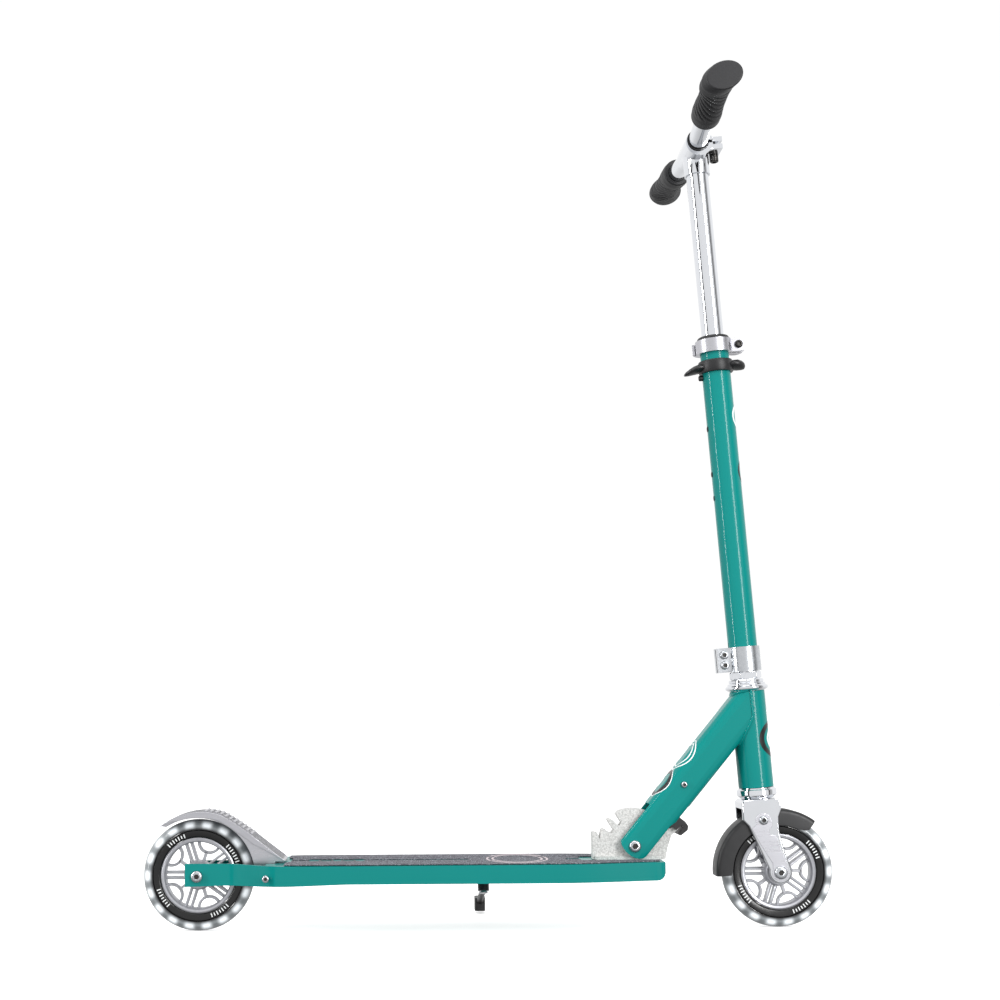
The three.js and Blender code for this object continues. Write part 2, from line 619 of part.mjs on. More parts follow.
function downTubeGeometry() {
  const length = 260;
  const depth = TUBE_ABOVE + TUBE_BELOW;
  const middle = (TUBE_BELOW - TUBE_ABOVE) / 2;
  const along = (shape, x0, x1) =>
    new THREE.ExtrudeGeometry(shape, { depth: x1 - x0, bevelEnabled: false })
      .rotateY(Math.PI / 2).translate(x0, 0, 0);
  const section = (grow) =>
    roundedRect(depth + 2 * grow, (TUBE_HALF_W + grow) * 2, TUBE_CORNER + grow, middle, 0, 4);
  const outer = along(section(0), -CHEEK_END, length);
  const bore = along(section(-TUBE_WALL), -CHEEK_END - 1, length + 1);
  const endRound = Array.from({ length: 13 }, (_, i) => {
    const angle = rad(90 + (i * 180) / 12);
    return [CHEEK_END * Math.cos(angle), CHEEK_DEPTH * Math.sin(angle)];
  });
  const side = sideCut(shapeOf([
    ...endRound, [CHEEK_LENGTH - 4, -CHEEK_DEPTH], [CHEEK_LENGTH + 10, -TUBE_BELOW - 1],
    [length + 5, -TUBE_BELOW - 1], [length + 5, TUBE_ABOVE + 1], [8, TUBE_ABOVE + 1],
  ]), -TUBE_HALF_W - 5, TUBE_HALF_W + 5);
  const yoke = latchHalfW + SLIDE_GAP + 1;
  const mouth = box(-CHEEK_END - 5, CHEEK_LENGTH, -yoke, yoke, -40, 40);
  const slotTop = -TUBE_BELOW + TUBE_WALL + 3;
  const hookSlot = box(CHEEK_LENGTH - 10, CHEEK_LENGTH + 26, -yoke, yoke, -40, slotTop);
  const pivotHole = crossBar(PIVOT_R + GAP, -40, 40, 0, 0);
  const guideHole = crossBar(GUIDE_BOLT_R + GAP, -40, 40, GUIDE_BOLT_X, 0);
  const head = bar(HEAD_R + GAP, -100, 400, 0, 28).applyMatrix4(stemInTube);
  const cupRoom = bar(HEAD_R + CUP_FLANGE + GAP, HEAD_TOP, 400, 0, 28).applyMatrix4(stemInTube);
  const beyond = box(0, 300, -60, 60, -400, 400).applyMatrix4(stemInTube);
  const skin = common(outer, side);
  return cut(skin, bore, mouth, hookSlot, pivotHole, guideHole, head, cupRoom, beyond);
}

// Where the drawn lock pin lies in the tube's frame.
const latchInnerHalfW = BRACKET_W / 2 + SLIDE_GAP;
const latchHalfW = latchInnerHalfW + LATCH_ARM;
const [notchX, notchZ] = polar(NOTCH_R + PIN_R + GAP, PIN_ANGLE - TUBE_ANGLE);
const pinX = notchX + LATCH_TRAVEL;

// Yoke that straddles the bracket and carries the lock pin, with a finger hook under the tube.
function latchGeometry() {
  const outline = shapeOf([
    ...arcPoints(pinX, notchZ, 6, 0, 180, 8), [44, -18], [43.4, -26], [51, -27], [52.4, -28.4],
    [51, -29.8], [41, -31], [41.9, -33.8], [51.5, -36], [55.6, -33.7], [57.2, -28], [57, -16], [52.5, 0],
  ]);
  const block = sideCut(outline, -latchHalfW, latchHalfW);
  const throat = box(0, 70, -latchInnerHalfW, latchInnerHalfW, -30.3, 60);
  return cut(block, throat, crossBar(PIN_R + GAP, -40, 40, pinX, notchZ, 0, 16));
}

// ---------------------------------------------------------------- steering head and fork

function forkGeometry() {
  const [ax, az] = [frontAxle.x, frontAxle.z];
  const leg = shapeOf([
    [-22, CROWN_TOP - 3], [-22.5, 60], [-16.5, 53], [-9.5, 34], [ax - 11.9, az + 4.2],
    ...arcPoints(ax, az, 12.4, 170, 368, 10),
    [20.8, 23.5], [17, 44], [18, 61], [21.2, 68], [22, 76], [20.5, CROWN_TOP - 1.6],
    [18, CROWN_TOP], [-19, CROWN_TOP],
  ]);
  const full = sideCut(leg, -FORK_HALF_W, FORK_HALF_W, EDGE_BEVEL);
  const inner = FORK_HALF_W - FORK_PLATE;
  const pocket = box(-60, 60, -inner, inner, -60, CROWN_BASE);
  const steerer = bar(STEERER_R, CROWN_TOP - 2, stemClampTop - 6, STEERER_R - STEERER_WALL, 28);
  const bores = crossBar(AXLE_R + GAP, -40, 40, ax, az);
  const screwHole = crossBar(FENDER_SCREW_R + GAP, -40, 40, FENDER_SCREW_X, FENDER_SCREW_Z, 0, 12);
  return cut(join(full, steerer), pocket, bores, screwHole);
}

function frontFenderGeometry() {
  const outline = shapeOf([
    ...arcPoints(0, 0, FENDER_R, FENDER_START, FENDER_END, 18),
    ...arcPoints(0, 0, FENDER_R - FENDER_SKIRT, FENDER_END - 6, FENDER_START + 8.5, 14),
  ]);
  const block = sideCut(outline, -FENDER_HALF_W, FENDER_HALF_W, EDGE_BEVEL);
  const room = FENDER_HALF_W - 1.5;
  const channel = crossBar(FENDER_R - FENDER_T, -room, room, 0, 0, 0, 50);
  const screws = new THREE.Vector3(FENDER_SCREW_X, 0, FENDER_SCREW_Z).applyMatrix4(stemMatrix);
  const holes = crossBar(
    FENDER_SCREW_R + GAP, -40, 40, screws.x - FRONT_X, screws.z - AXLE_Z, 0, 12);
  return cut(block, channel, holes).translate(FRONT_X, 0, AXLE_Z);
}

// Split clamp band with two ears on the +X side.
function clampBand(outerR, innerR, base, top, earReach, earHalf) {
  const band = bar(outerR, base, top, 0, 28);
  const ears = box(innerR - 2, earReach, -earHalf, earHalf, base, top);
  const slit = box(innerR - 3, earReach + 1, -CLAMP_SLIT_HALF, CLAMP_SLIT_HALF, base - 1, top + 1);
  const bore = bar(innerR, base - 1, top + 1, 0, 28);
  return cut(join(band, ears), slit, bore);
}

const stemClampMid = (stemClampBase + stemClampTop) / 2;
const stemBoltLevels = [-1, 1].map((side) => stemClampMid + (side * STEM_BOLT_SPACING) / 2);

function stemClampGeometry() {
  const inner = STEM_R + GAP;
  const band = clampBand(
    inner + STEM_CLAMP_WALL, inner, stemClampBase, stemClampTop, STEM_EAR_REACH, STEM_EAR_HALF,
  ).rotateZ(Math.PI);
  const holes = stemBoltLevels.map((level) =>
    crossBar(CLAMP_BOLT_R + GAP, -30, 30, -STEM_BOLT_REACH, level));
  return cut(band, ...holes);
}

// Socket screw whose head's seat is at y0 and whose shank ends at y1.
function capScrew(shankR, headR, y0, y1, x, z) {
  const shank = crossBar(shankR, y0 - 1, y1, x, z, 0, 12);
  const head = turned([[0, 0], [headR, 0], [headR, 2.6], [headR - 0.8, 3.4], [headR * 0.55, 3.4],
    [headR * 0.55, 1.4], [0, 1.4]], 12).rotateX(Math.PI / 2).translate(x, y0, z);
  return join(shank, head);
}

function wingRingGeometry() {
  const r = STEM_R;
  const ring = bar(r + WING_RING_WALL, WING_BASE, WING_BASE + WING_H, r + GAP, 28);
  const wings = planCut(shapeOf([
    [-r - 20.7, -5], [-r - 7.7, -15], [0, -r - 2.7], [18, -r - 1.7], [r + 13.7, -11], [r + 17.2, 0],
    [r + 13.7, 11], [18, r + 1.7], [0, r + 2.7], [-r - 7.7, 15], [-r - 20.7, 5],
  ]), WING_BASE + 1, WING_BASE + 5.5);
  const lip = planCut(shapeOf([
    [r, -12], [r + 10.7, -8], [r + 12.7, 0], [r + 10.7, 8], [r, 12],
  ]), WING_BASE + 1, WING_BASE + 11);
  const bore = bar(r + GAP, WING_BASE - 1, WING_BASE + WING_H + 1, 0, 28);
  return cut(join(ring, wings, lip), bore);
}

const collarMid = (collarBase + STEM_TOP) / 2;
const camX = COLLAR_EAR_REACH - CAM_R;
const camY = COLLAR_EAR_HALF + CAM_R + SLIDE_GAP;

function collarGeometry() {
  const band = clampBand(
    COLLAR_R, STEM_R + GAP, collarBase, STEM_TOP, COLLAR_EAR_REACH, COLLAR_EAR_HALF);
  return cut(band, crossBar(CLAMP_BOLT_R + GAP, -30, 30, camX, collarMid));
}

// Lever that lies round the collar's left side; its cam turns about an upright pin.
function collarLeverGeometry() {
  const inner = COLLAR_R + 0.8;
  const low = collarMid - LEVER_H / 2;
  const high = collarMid + LEVER_H / 2;
  const blade = planCut(shapeOf([
    ...arcPoints(0, 0, inner, 42, 165, 10), ...arcPoints(0, 0, inner + LEVER_T, 165, 34, 10),
    [camX, camY + CAM_R], [camX, camY - CAM_R + 3],
  ]), low, high);
  const cam = bar(CAM_R, low, high, 0, 20).translate(camX, camY, 0);
  return join(blade, cam);
}

// Outer stem tube with clamping slits at both ends and the button holes at the back.
function stemTubeGeometry() {
  const tube = bar(STEM_R, stemClampBase + 1, STEM_TOP, stemBore, 28);
  const holes = BUTTON_LEVELS.map((level) =>
    bar(BUTTON_R + GAP, 0, 30, 0, 12).rotateY(-Math.PI / 2).translate(0, 0, level));
  const topSlit = box(0, 30, -STEM_SLIT_HALF, STEM_SLIT_HALF, STEM_TOP - 34, STEM_TOP + 1);
  const lowSlit = box(-30, 0, -STEM_SLIT_HALF, STEM_SLIT_HALF, stemClampBase, stemClampTop + 6);
  return cut(tube, ...holes, topSlit, lowSlit);
}

// ---------------------------------------------------------------- T-bar

function gripGeometry() {
  const reach = BAR_HALF_W / Math.cos(rad(BAR_RISE));
  const start = reach - GRIP_LENGTH;
  const bore = BAR_R + GAP;
  return turned([
    [bore, start], [GRIP_R - 1.2, start], [GRIP_R, start + 2], [GRIP_R - 0.3, start + 14],
    [GRIP_R - 1.6, start + 45], [GRIP_R - 2.4, start + 78], [GRIP_R - 0.6, start + 90],
    [GRIP_R + 1.6, start + 98], [GRIP_R + 1.6, reach - 3], [GRIP_R - 1, reach],
    [0, reach], [0, reach - 4], [bore, reach - 4],
  ], 20);
}

// Turn a piece built along +Z so that it lies along one half of the handlebar.
function alongBar(geometry, side) {
  const direction = new THREE.Vector3(-Math.tan(rad(BAR_SWEEP)), side, Math.tan(rad(BAR_RISE)));
  const up = new THREE.Vector3(0, 0, 1);
  const turn = new THREE.Quaternion().setFromUnitVectors(up, direction.normalize());
  return geometry.applyQuaternion(turn).translate(0, 0, BAR_LEVEL);
}

function handlebarGeometry() {
  const reach = BAR_HALF_W / Math.cos(rad(BAR_RISE)) - 4 - GAP;
  const halves = [-1, 1].map((side) => alongBar(bar(BAR_R, -1, reach), side));
  const bores = [-1, 1].map((side) => alongBar(bar(BAR_R - BAR_WALL, -1, reach + 5, 0, 12), side));
  return cut(join(...halves), ...bores);
}

const teeR = BAR_R + TEE_WALL;
const teeBoltX = teeR + TEE_EAR_REACH / 2;
const shimBore = BAR_R + SLIDE_GAP;
const shimR = shimBore + SHIM_T;
const barTubeTop = BAR_LEVEL - BAR_R - 3.5;

// Clamp at the top of the inner tube: a split barrel round the handlebar, with ears in front.
function teeGeometry() {
  const barrel = crossBar(teeR, -TEE_HALF_W, TEE_HALF_W, 0, BAR_LEVEL, 0, 24);
  const neck = bar(BAR_TUBE_R + TEE_NECK_WALL, BAR_LEVEL - TEE_NECK_H, BAR_LEVEL);
  const earHalf = TEE_HALF_W - 6;
  const ears = box(
    0, teeR + TEE_EAR_REACH, -earHalf, earHalf, BAR_LEVEL - TEE_EAR_HALF_H, BAR_LEVEL + TEE_EAR_HALF_H);
  const slit = box(
    0, teeR + TEE_EAR_REACH + 1, -TEE_HALF_W - 1, TEE_HALF_W + 1,
    BAR_LEVEL - CLAMP_SLIT_HALF, BAR_LEVEL + CLAMP_SLIT_HALF);
  const seat = [-1, 1].map((side) => alongBar(bar(shimR + GAP, -3, TEE_HALF_W + 15), side));
  const socket = bar(BAR_TUBE_R + GAP, BAR_LEVEL - TEE_NECK_H - 1, barTubeTop + GAP);
  const boltHole = bar(TEE_BOLT_R + GAP, BAR_LEVEL - 20, BAR_LEVEL + 20, 0, 16)
    .translate(teeBoltX, 0, 0);
  return cut(join(barrel, neck, ears), slit, ...seat, socket, boltHole);
}

function teeBoltGeometry() {
  const seat = TEE_EAR_HALF_H + GAP;
  const r = TEE_BOLT_HEAD_R;
  const shank = bar(TEE_BOLT_R, BAR_LEVEL - seat - 1, BAR_LEVEL + seat + 1, 0, 16);
  const head = turned([[0, 0], [r, 0], [r, 7], [r - 0.8, 8], [r / 2, 8], [r / 2, 4], [0, 4]], 20)
    .rotateX(Math.PI).translate(0, 0, BAR_LEVEL - seat);
  const nut = bar(r, BAR_LEVEL + seat, BAR_LEVEL + seat + 3.7, 0, 6);
  return join(shank, head, nut).translate(teeBoltX, 0, 0);
}

function shimGeometry() {
  const end = TEE_HALF_W + 1.5;
  const sleeves = [-1, 1].map((side) => alongBar(bar(shimR, -1, end, 0, 16), side));
  const bores = [-1, 1].map((side) => alongBar(bar(shimBore, -3, end + 10, 0, 16), side));
  const slit = box(0, 40, -end - 2, end + 2, BAR_LEVEL - CLAMP_SLIT_HALF, BAR_LEVEL + 6);
  return cut(join(...sleeves), ...bores, slit);
}

// ---------------------------------------------------------------- kickstand

// The leg swings about an axis that leans outwards, so that it folds back under the deck.
const legRun = new THREE.Vector2(STAND_REACH - STAND_Y, STAND_Z - FOOT_SIZE[2] * 0.6 - STAND_FOOT_Z);
const hingeTilt = Math.PI / 2 - Math.atan2(legRun.x, legRun.y);
const onHinge = (geometry) => geometry.rotateX(-hingeTilt).translate(STAND_X, STAND_Y, STAND_Z);

const standMountBox = (grow) =>
  box(
    STAND_X - STAND_MOUNT_HALF - grow, STAND_X + STAND_MOUNT_HALF + grow,
    STAND_Y - 9 - grow, STAND_Y + 17 + grow, DECK_BOTTOM - 1, DECK_TOP - DECK_PLATE - GAP + grow);

function standMountGeometry() {
  const peg = onHinge(bar(STAND_PEG_R, -STAND_HUB_H / 2 - 1.5, 20, 0, 16));
  const cap = onHinge(bar(STAND_PEG_R + 2, -STAND_HUB_H / 2 - 3, -STAND_HUB_H / 2 - GAP, 0, 16));
  return join(standMountBox(0), peg, cap);
}

function standNutGeometry() {
  const base = STAND_HUB_H / 2 + GAP;
  const nut = bar(STAND_HUB_R - 0.7, base, base + STAND_NUT_H, 0, 6);
  return onHinge(cut(nut, bar(STAND_PEG_R + GAP, base - 1, base + STAND_NUT_H + 1, 0, 16)));
}

function legGeometry() {
  const reach = legRun.length();
  const hub = bar(STAND_HUB_R, -STAND_HUB_H / 2, STAND_HUB_H / 2);
  const rod = bar(LEG_R, 0, reach, 0, 16).rotateX(-Math.PI / 2);
  const bore = bar(STAND_PEG_R + GAP, -STAND_HUB_H, STAND_HUB_H, 0, 16);
  return onHinge(cut(join(hub, rod), bore));
}

function footGeometry() {
  const [width, length, height] = FOOT_SIZE;
  const lean = Math.atan2(STAND_FOOT_Z, STAND_REACH);
  const block = planCut(roundedRect(width, length, 4, 0, 0, 4), 0, height)
    .rotateX(lean).translate(STAND_X, STAND_REACH, STAND_FOOT_Z);
  const socket = onHinge(bar(LEG_R + GAP, 0, legRun.length() + GAP, 0, 16).rotateX(-Math.PI / 2));
  return cut(block, socket);
}

// ---------------------------------------------------------------- assembly

wheel('rear', REAR_X);
wheel('front', FRONT_X);
axle('rear', REAR_X, STAY_HALF_W, stayInner, REAR_AXLE_HEAD_R);
axle('front', FRONT_X, FORK_HALF_W, FORK_HALF_W - FORK_PLATE, FRONT_AXLE_HEAD_R);

place(scooter, 'deck', deckGeometry(), TEAL);
place(scooter, 'grip_tape_left', tapeGeometry(), TAPE);
place(scooter, 'grip_tape_right', mirrorY(tapeGeometry()), TAPE);
place(scooter, 'fold_bracket', bracketGeometry(), CAST);
place(scooter, 'fold_pivot_bolt',
  throughBolt(PIVOT_R, PIVOT_HEAD_R, TUBE_HALF_W, PIVOT_X, PIVOT_Z), STEEL);
const brakePinReach = deckHalfWidthAt(BRAKE_PIVOT_X + BRAKE_PIN_HEAD_R);
place(scooter, 'brake_pivot_pin',
  throughBolt(BRAKE_PIN_R, BRAKE_PIN_HEAD_R, brakePinReach, BRAKE_PIVOT_X, BRAKE_PIVOT_Z), STEEL);
const springBore = BRAKE_PIN_R + GAP + 0.4;
place(scooter, 'brake_spring',
  crossBar(springBore + 1.8, -7.4, 7.4, BRAKE_PIVOT_X, BRAKE_PIVOT_Z, springBore, 20), STEEL);
place(scooter, 'brake', brakeGeometry(), POLISHED);

place(foldTube, 'down_tube', downTubeGeometry(), TEAL);
place(foldTube, 'latch_guide_bolt',
  throughBolt(GUIDE_BOLT_R, GUIDE_BOLT_HEAD_R, TUBE_HALF_W, GUIDE_BOLT_X, 0), STEEL);
place(foldTube, 'fold_latch', latchGeometry(), BLACK);
place(foldTube, 'lock_pin', crossBar(PIN_R, -latchHalfW, latchHalfW, pinX, notchZ, 0, 16), STEEL);
place(scooter, 'kickstand_mount', standMountGeometry(), STEEL);
place(scooter, 'kickstand_nut', standNutGeometry(), STEEL);
place(scooter, 'kickstand_leg', legGeometry(), BLACK);
place(scooter, 'kickstand_foot', footGeometry(), BLACK);

place(steering, 'head_tube', bar(HEAD_R, HEAD_BASE, HEAD_TOP, HEAD_BORE, 28), TEAL);
place(steering, 'lower_cup', turned([
  [STEERER_R + SLIDE_GAP, cupTop - CUP_H], [HEAD_R - 1, cupTop - CUP_H],
  [HEAD_R + 2.8, cupTop - CUP_H + 3.5],
  [HEAD_R + 2.8, cupTop - 2], [HEAD_R + 0.5, cupTop], [STEERER_R + SLIDE_GAP, cupTop],
], 28), CHROME);
place(steering, 'upper_cup', turned([
  [STEERER_R + SLIDE_GAP, upperCupBase], [HEAD_R + 2, upperCupBase],
  [HEAD_R + CUP_FLANGE, upperCupBase + 2.2], [HEAD_R + CUP_FLANGE, upperCupBase + 4.6], [HEAD_R + 1.5, upperCupBase + UPPER_CUP_H],
  [STEERER_R + SLIDE_GAP, upperCupBase + UPPER_CUP_H],
], 28), CHROME);
place(steering, 'headset_lock_ring',
  bar(HEAD_R, lockRingBase, lockRingBase + LOCK_RING_H, STEERER_R + GAP, 28), CHROME);
place(steering, 'headset_hex_nut',
  cut(bar(HEX_R, hexBase, hexBase + HEX_H, 0, 6), bar(STEERER_R + GAP, 0, 400, 0, 28)), CHROME);
place(steering, 'fork', forkGeometry(), CHROME);
place(scooter, 'front_fender', frontFenderGeometry(), BLACK);
const fenderScrew = () => capScrew(
  FENDER_SCREW_R, FENDER_SCREW_HEAD_R, -FORK_HALF_W - GAP, -FENDER_HALF_W + 1,
  FENDER_SCREW_X, FENDER_SCREW_Z);
place(steering, 'fender_screw_right', fenderScrew(), CHROME);
place(steering, 'fender_screw_left', mirrorY(fenderScrew()), CHROME);
place(steering, 'stem_clamp', stemClampGeometry(), STEEL);
stemBoltLevels.forEach((level, i) =>
  place(steering, `stem_clamp_bolt_${i + 1}`,
    throughBolt(CLAMP_BOLT_R, STEM_BOLT_HEAD_R, STEM_EAR_HALF, -STEM_BOLT_REACH, level), STEEL));
place(steering, 'stem_tube', stemTubeGeometry(), TEAL);
place(steering, 'wing_ring', wingRingGeometry(), BLACK);
place(steering, 'collar', collarGeometry(), POLISHED);
place(steering, 'collar_bolt', capScrew(
  CLAMP_BOLT_R, COLLAR_BOLT_HEAD_R, -COLLAR_EAR_HALF - GAP, COLLAR_EAR_HALF, camX, collarMid), STEEL);
place(steering, 'collar_lever', collarLeverGeometry(), POLISHED);
place(steering, 'seal_ring', turned([
  [BAR_TUBE_R + SLIDE_GAP, STEM_TOP - SEAL_SKIRT], [stemBore - GAP, STEM_TOP - SEAL_SKIRT],
  [stemBore - GAP, STEM_TOP + GAP], [STEM_R + 2, STEM_TOP + GAP], [STEM_R + 2, STEM_TOP + 2.5],
  [STEM_R, STEM_TOP + SEAL_H], [BAR_TUBE_R + SLIDE_GAP, STEM_TOP + SEAL_H],
], 28), BLACK);
place(steering, 'spring_button', turned([
  [0, stemBore], [BUTTON_R, stemBore], [BUTTON_R, STEM_R + BUTTON_PROUD - 1],
  [BUTTON_R - 1, STEM_R + BUTTON_PROUD], [0, STEM_R + BUTTON_PROUD],
], 16).rotateY(-Math.PI / 2).translate(0, 0, BUTTON_LEVELS[0]), BLACK);

place(steering, 'bar_tube',
  bar(BAR_TUBE_R, barTubeBase, barTubeTop, BAR_TUBE_R - BAR_TUBE_WALL, 28), CHROME);
place(steering, 'bar_bushing',
  bar(stemBore - GAP, barTubeBase, barTubeBase + BUSHING_H, BAR_TUBE_R + GAP), BLACK);
place(steering, 'bar_clamp', teeGeometry(), CHROME);
place(steering, 'bar_shim', shimGeometry(), BLACK);
place(steering, 'handlebar', handlebarGeometry(), CHROME);
place(steering, 'bar_clamp_bolt', teeBoltGeometry(), STEEL);
place(steering, 'grip_right', alongBar(gripGeometry(), -1), GRIP);
place(steering, 'grip_left', alongBar(gripGeometry(), 1), GRIP);

export default scooter;
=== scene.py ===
"""Folding kick scooter: the finished look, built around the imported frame.

Every length in the classes is in millimetres. Three local frames are used: the row's own, the
stem's (Z up the steering axis from the level of the axles) and the fold tube's (X up the tube from
its pivot).
"""

import json
import logging
import math
from collections.abc import Callable, Iterable, Sequence
from dataclasses import dataclass, field
from enum import Enum

import bmesh
import bpy
from mathutils import Matrix, Vector

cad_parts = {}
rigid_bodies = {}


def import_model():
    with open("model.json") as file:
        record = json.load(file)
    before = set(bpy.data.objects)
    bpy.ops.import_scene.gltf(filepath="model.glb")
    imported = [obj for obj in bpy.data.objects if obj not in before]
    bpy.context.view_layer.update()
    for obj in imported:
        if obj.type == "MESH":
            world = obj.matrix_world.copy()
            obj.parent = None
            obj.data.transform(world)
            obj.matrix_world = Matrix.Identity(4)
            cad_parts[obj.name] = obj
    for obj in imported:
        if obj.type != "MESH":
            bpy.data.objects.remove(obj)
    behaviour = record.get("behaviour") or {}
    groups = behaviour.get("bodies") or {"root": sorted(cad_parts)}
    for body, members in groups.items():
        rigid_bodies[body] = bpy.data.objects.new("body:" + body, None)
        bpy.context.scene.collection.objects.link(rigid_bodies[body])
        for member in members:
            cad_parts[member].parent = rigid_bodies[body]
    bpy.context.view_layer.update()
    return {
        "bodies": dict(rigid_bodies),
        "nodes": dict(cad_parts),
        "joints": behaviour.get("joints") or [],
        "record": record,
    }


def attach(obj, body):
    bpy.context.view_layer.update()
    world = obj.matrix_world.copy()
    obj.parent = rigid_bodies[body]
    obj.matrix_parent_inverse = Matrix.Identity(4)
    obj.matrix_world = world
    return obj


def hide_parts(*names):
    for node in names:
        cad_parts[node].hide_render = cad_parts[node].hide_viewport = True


MM = 0.001
WELD_MM = 0.002
LOG = logging.getLogger("scooter")

Point = tuple[float, float]
Profile = Sequence[tuple[float, ...]]
Surface = Callable[[float, float, float], Vector]
Shader = bpy.types.ShaderNode
Socket = bpy.types.NodeSocket
Tone = bpy.types.NodeSocket | tuple[float, float, float, float]


class Side(Enum):
    """The rider's right or left, as the sign of Y."""

    RIGHT = -1
    LEFT = 1


class Body(Enum):
    """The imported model's bodies."""

    DECK = "deck"
    REAR_WHEEL = "rear_wheel"
    BRAKE = "brake"
    KICKSTAND = "kickstand"
    FRAME = "frame"
    LATCH = "latch"
    STEERING = "steering"
    FRONT_WHEEL = "front_wheel"
    LEVER = "lever"
    BUTTON = "button"
    T_BAR = "t_bar"


# ------------------------------------------------------------------------------------- layout


@dataclass(frozen=True)
class Layout:
    """Where the scooter's main lines run."""

    axle_x: float = 326.6
    axle_z: float = 62.5
    steer_x: float = 312.6
    steer_tilt: float = 4.25
    pivot_x: float = 164.0
    pivot_z: float = 92.8
    tube_angle: float = 50.5

    @property
    def stem(self) -> Matrix:
        """Stem frame to row frame."""
        lean = Matrix.Rotation(-math.radians(self.steer_tilt), 4, "Y")
        return Matrix.Translation((self.steer_x, 0.0, self.axle_z)) @ lean

    @property
    def tube(self) -> Matrix:
        """Fold tube frame to row frame."""
        lean = Matrix.Rotation(-math.radians(self.tube_angle), 4, "Y")
        return Matrix.Translation((self.pivot_x, 0.0, self.pivot_z)) @ lean

    def axle(self, sign: int) -> Matrix:
        """Wheel frame, Z along the axle to the left, of the front (1) or rear (-1) wheel."""
        turn = Matrix.Rotation(-math.pi / 2, 4, "X")
        return Matrix.Translation((sign * self.axle_x, 0.0, self.axle_z)) @ turn


LAYOUT = Layout()


# ------------------------------------------------------------------------------------- finishes


def linear(code: str) -> tuple[float, float, float, float]:
    """Turns an sRGB hex colour to linear.

    Args:
        code: Six hex digits.

    Returns:
        Linear red, green, blue and an alpha of one.
    """
    channels = (int(code[i : i + 2], 16) / 255 for i in (0, 2, 4))
    red, green, blue = (
        c / 12.92 if c <= 0.04045 else ((c + 0.055) / 1.055) ** 2.4 for c in channels
    )
    return (red, green, blue, 1.0)


def add_node(
    tree: bpy.types.NodeTree, kind: str, inputs: dict | None = None, **settings: str
) -> bpy.types.Node:
    """Adds a node, sets it up and links it.

    Args:
        tree: The node tree that the node joins.
        kind: The node's type name.
        inputs: Value or output socket for each input, by name or index.
        **settings: The node's own properties.

    Returns:
        The new node.
    """
    node = tree.nodes.new(kind)
    for key, value in settings.items():
        setattr(node, key, value)
    for key, value in (inputs or {}).items():
        socket = node.inputs[key]
        if isinstance(value, bpy.types.NodeSocket):
            tree.links.new(value, socket)
        else:
            socket.default_value = value
    return node


def mapped(
    tree: bpy.types.NodeTree, value: Socket, span: Point, result: Point, kind: str = "LINEAR"
) -> Socket:
    """Maps one range of values to another.

    Args:
        tree: The node tree.
        value: The socket that is read.
        span: Values that go in.
        result: Values that come out.
        kind: Blender's name for the way between them.

    Returns:
        The mapped socket.
    """
    ends = {"Value": value, 1: span[0], 2: span[1], 3: result[0], 4: result[1]}
    return add_node(tree, "ShaderNodeMapRange", ends, interpolation_type=kind).outputs["Result"]


def blended(tree: bpy.types.NodeTree, share: Socket, first: Tone, second: Tone) -> Socket:
    """Blends two colours.

    Args:
        tree: The node tree.
        share: Share of the second colour.
        first: Colour or socket at a share of zero.
        second: Colour or socket at a share of one.

    Returns:
        The blended colour's socket.
    """
    ends = {0: share, 6: first, 7: second}
    return add_node(tree, "ShaderNodeMix", ends, data_type="RGBA").outputs[2]


def reckoned(tree: bpy.types.NodeTree, operation: str, *values: Socket | float) -> Socket:
    """Adds a Math node on the values and returns its result."""
    return add_node(
        tree, "ShaderNodeMath", dict(enumerate(values)), operation=operation
    ).outputs[0]


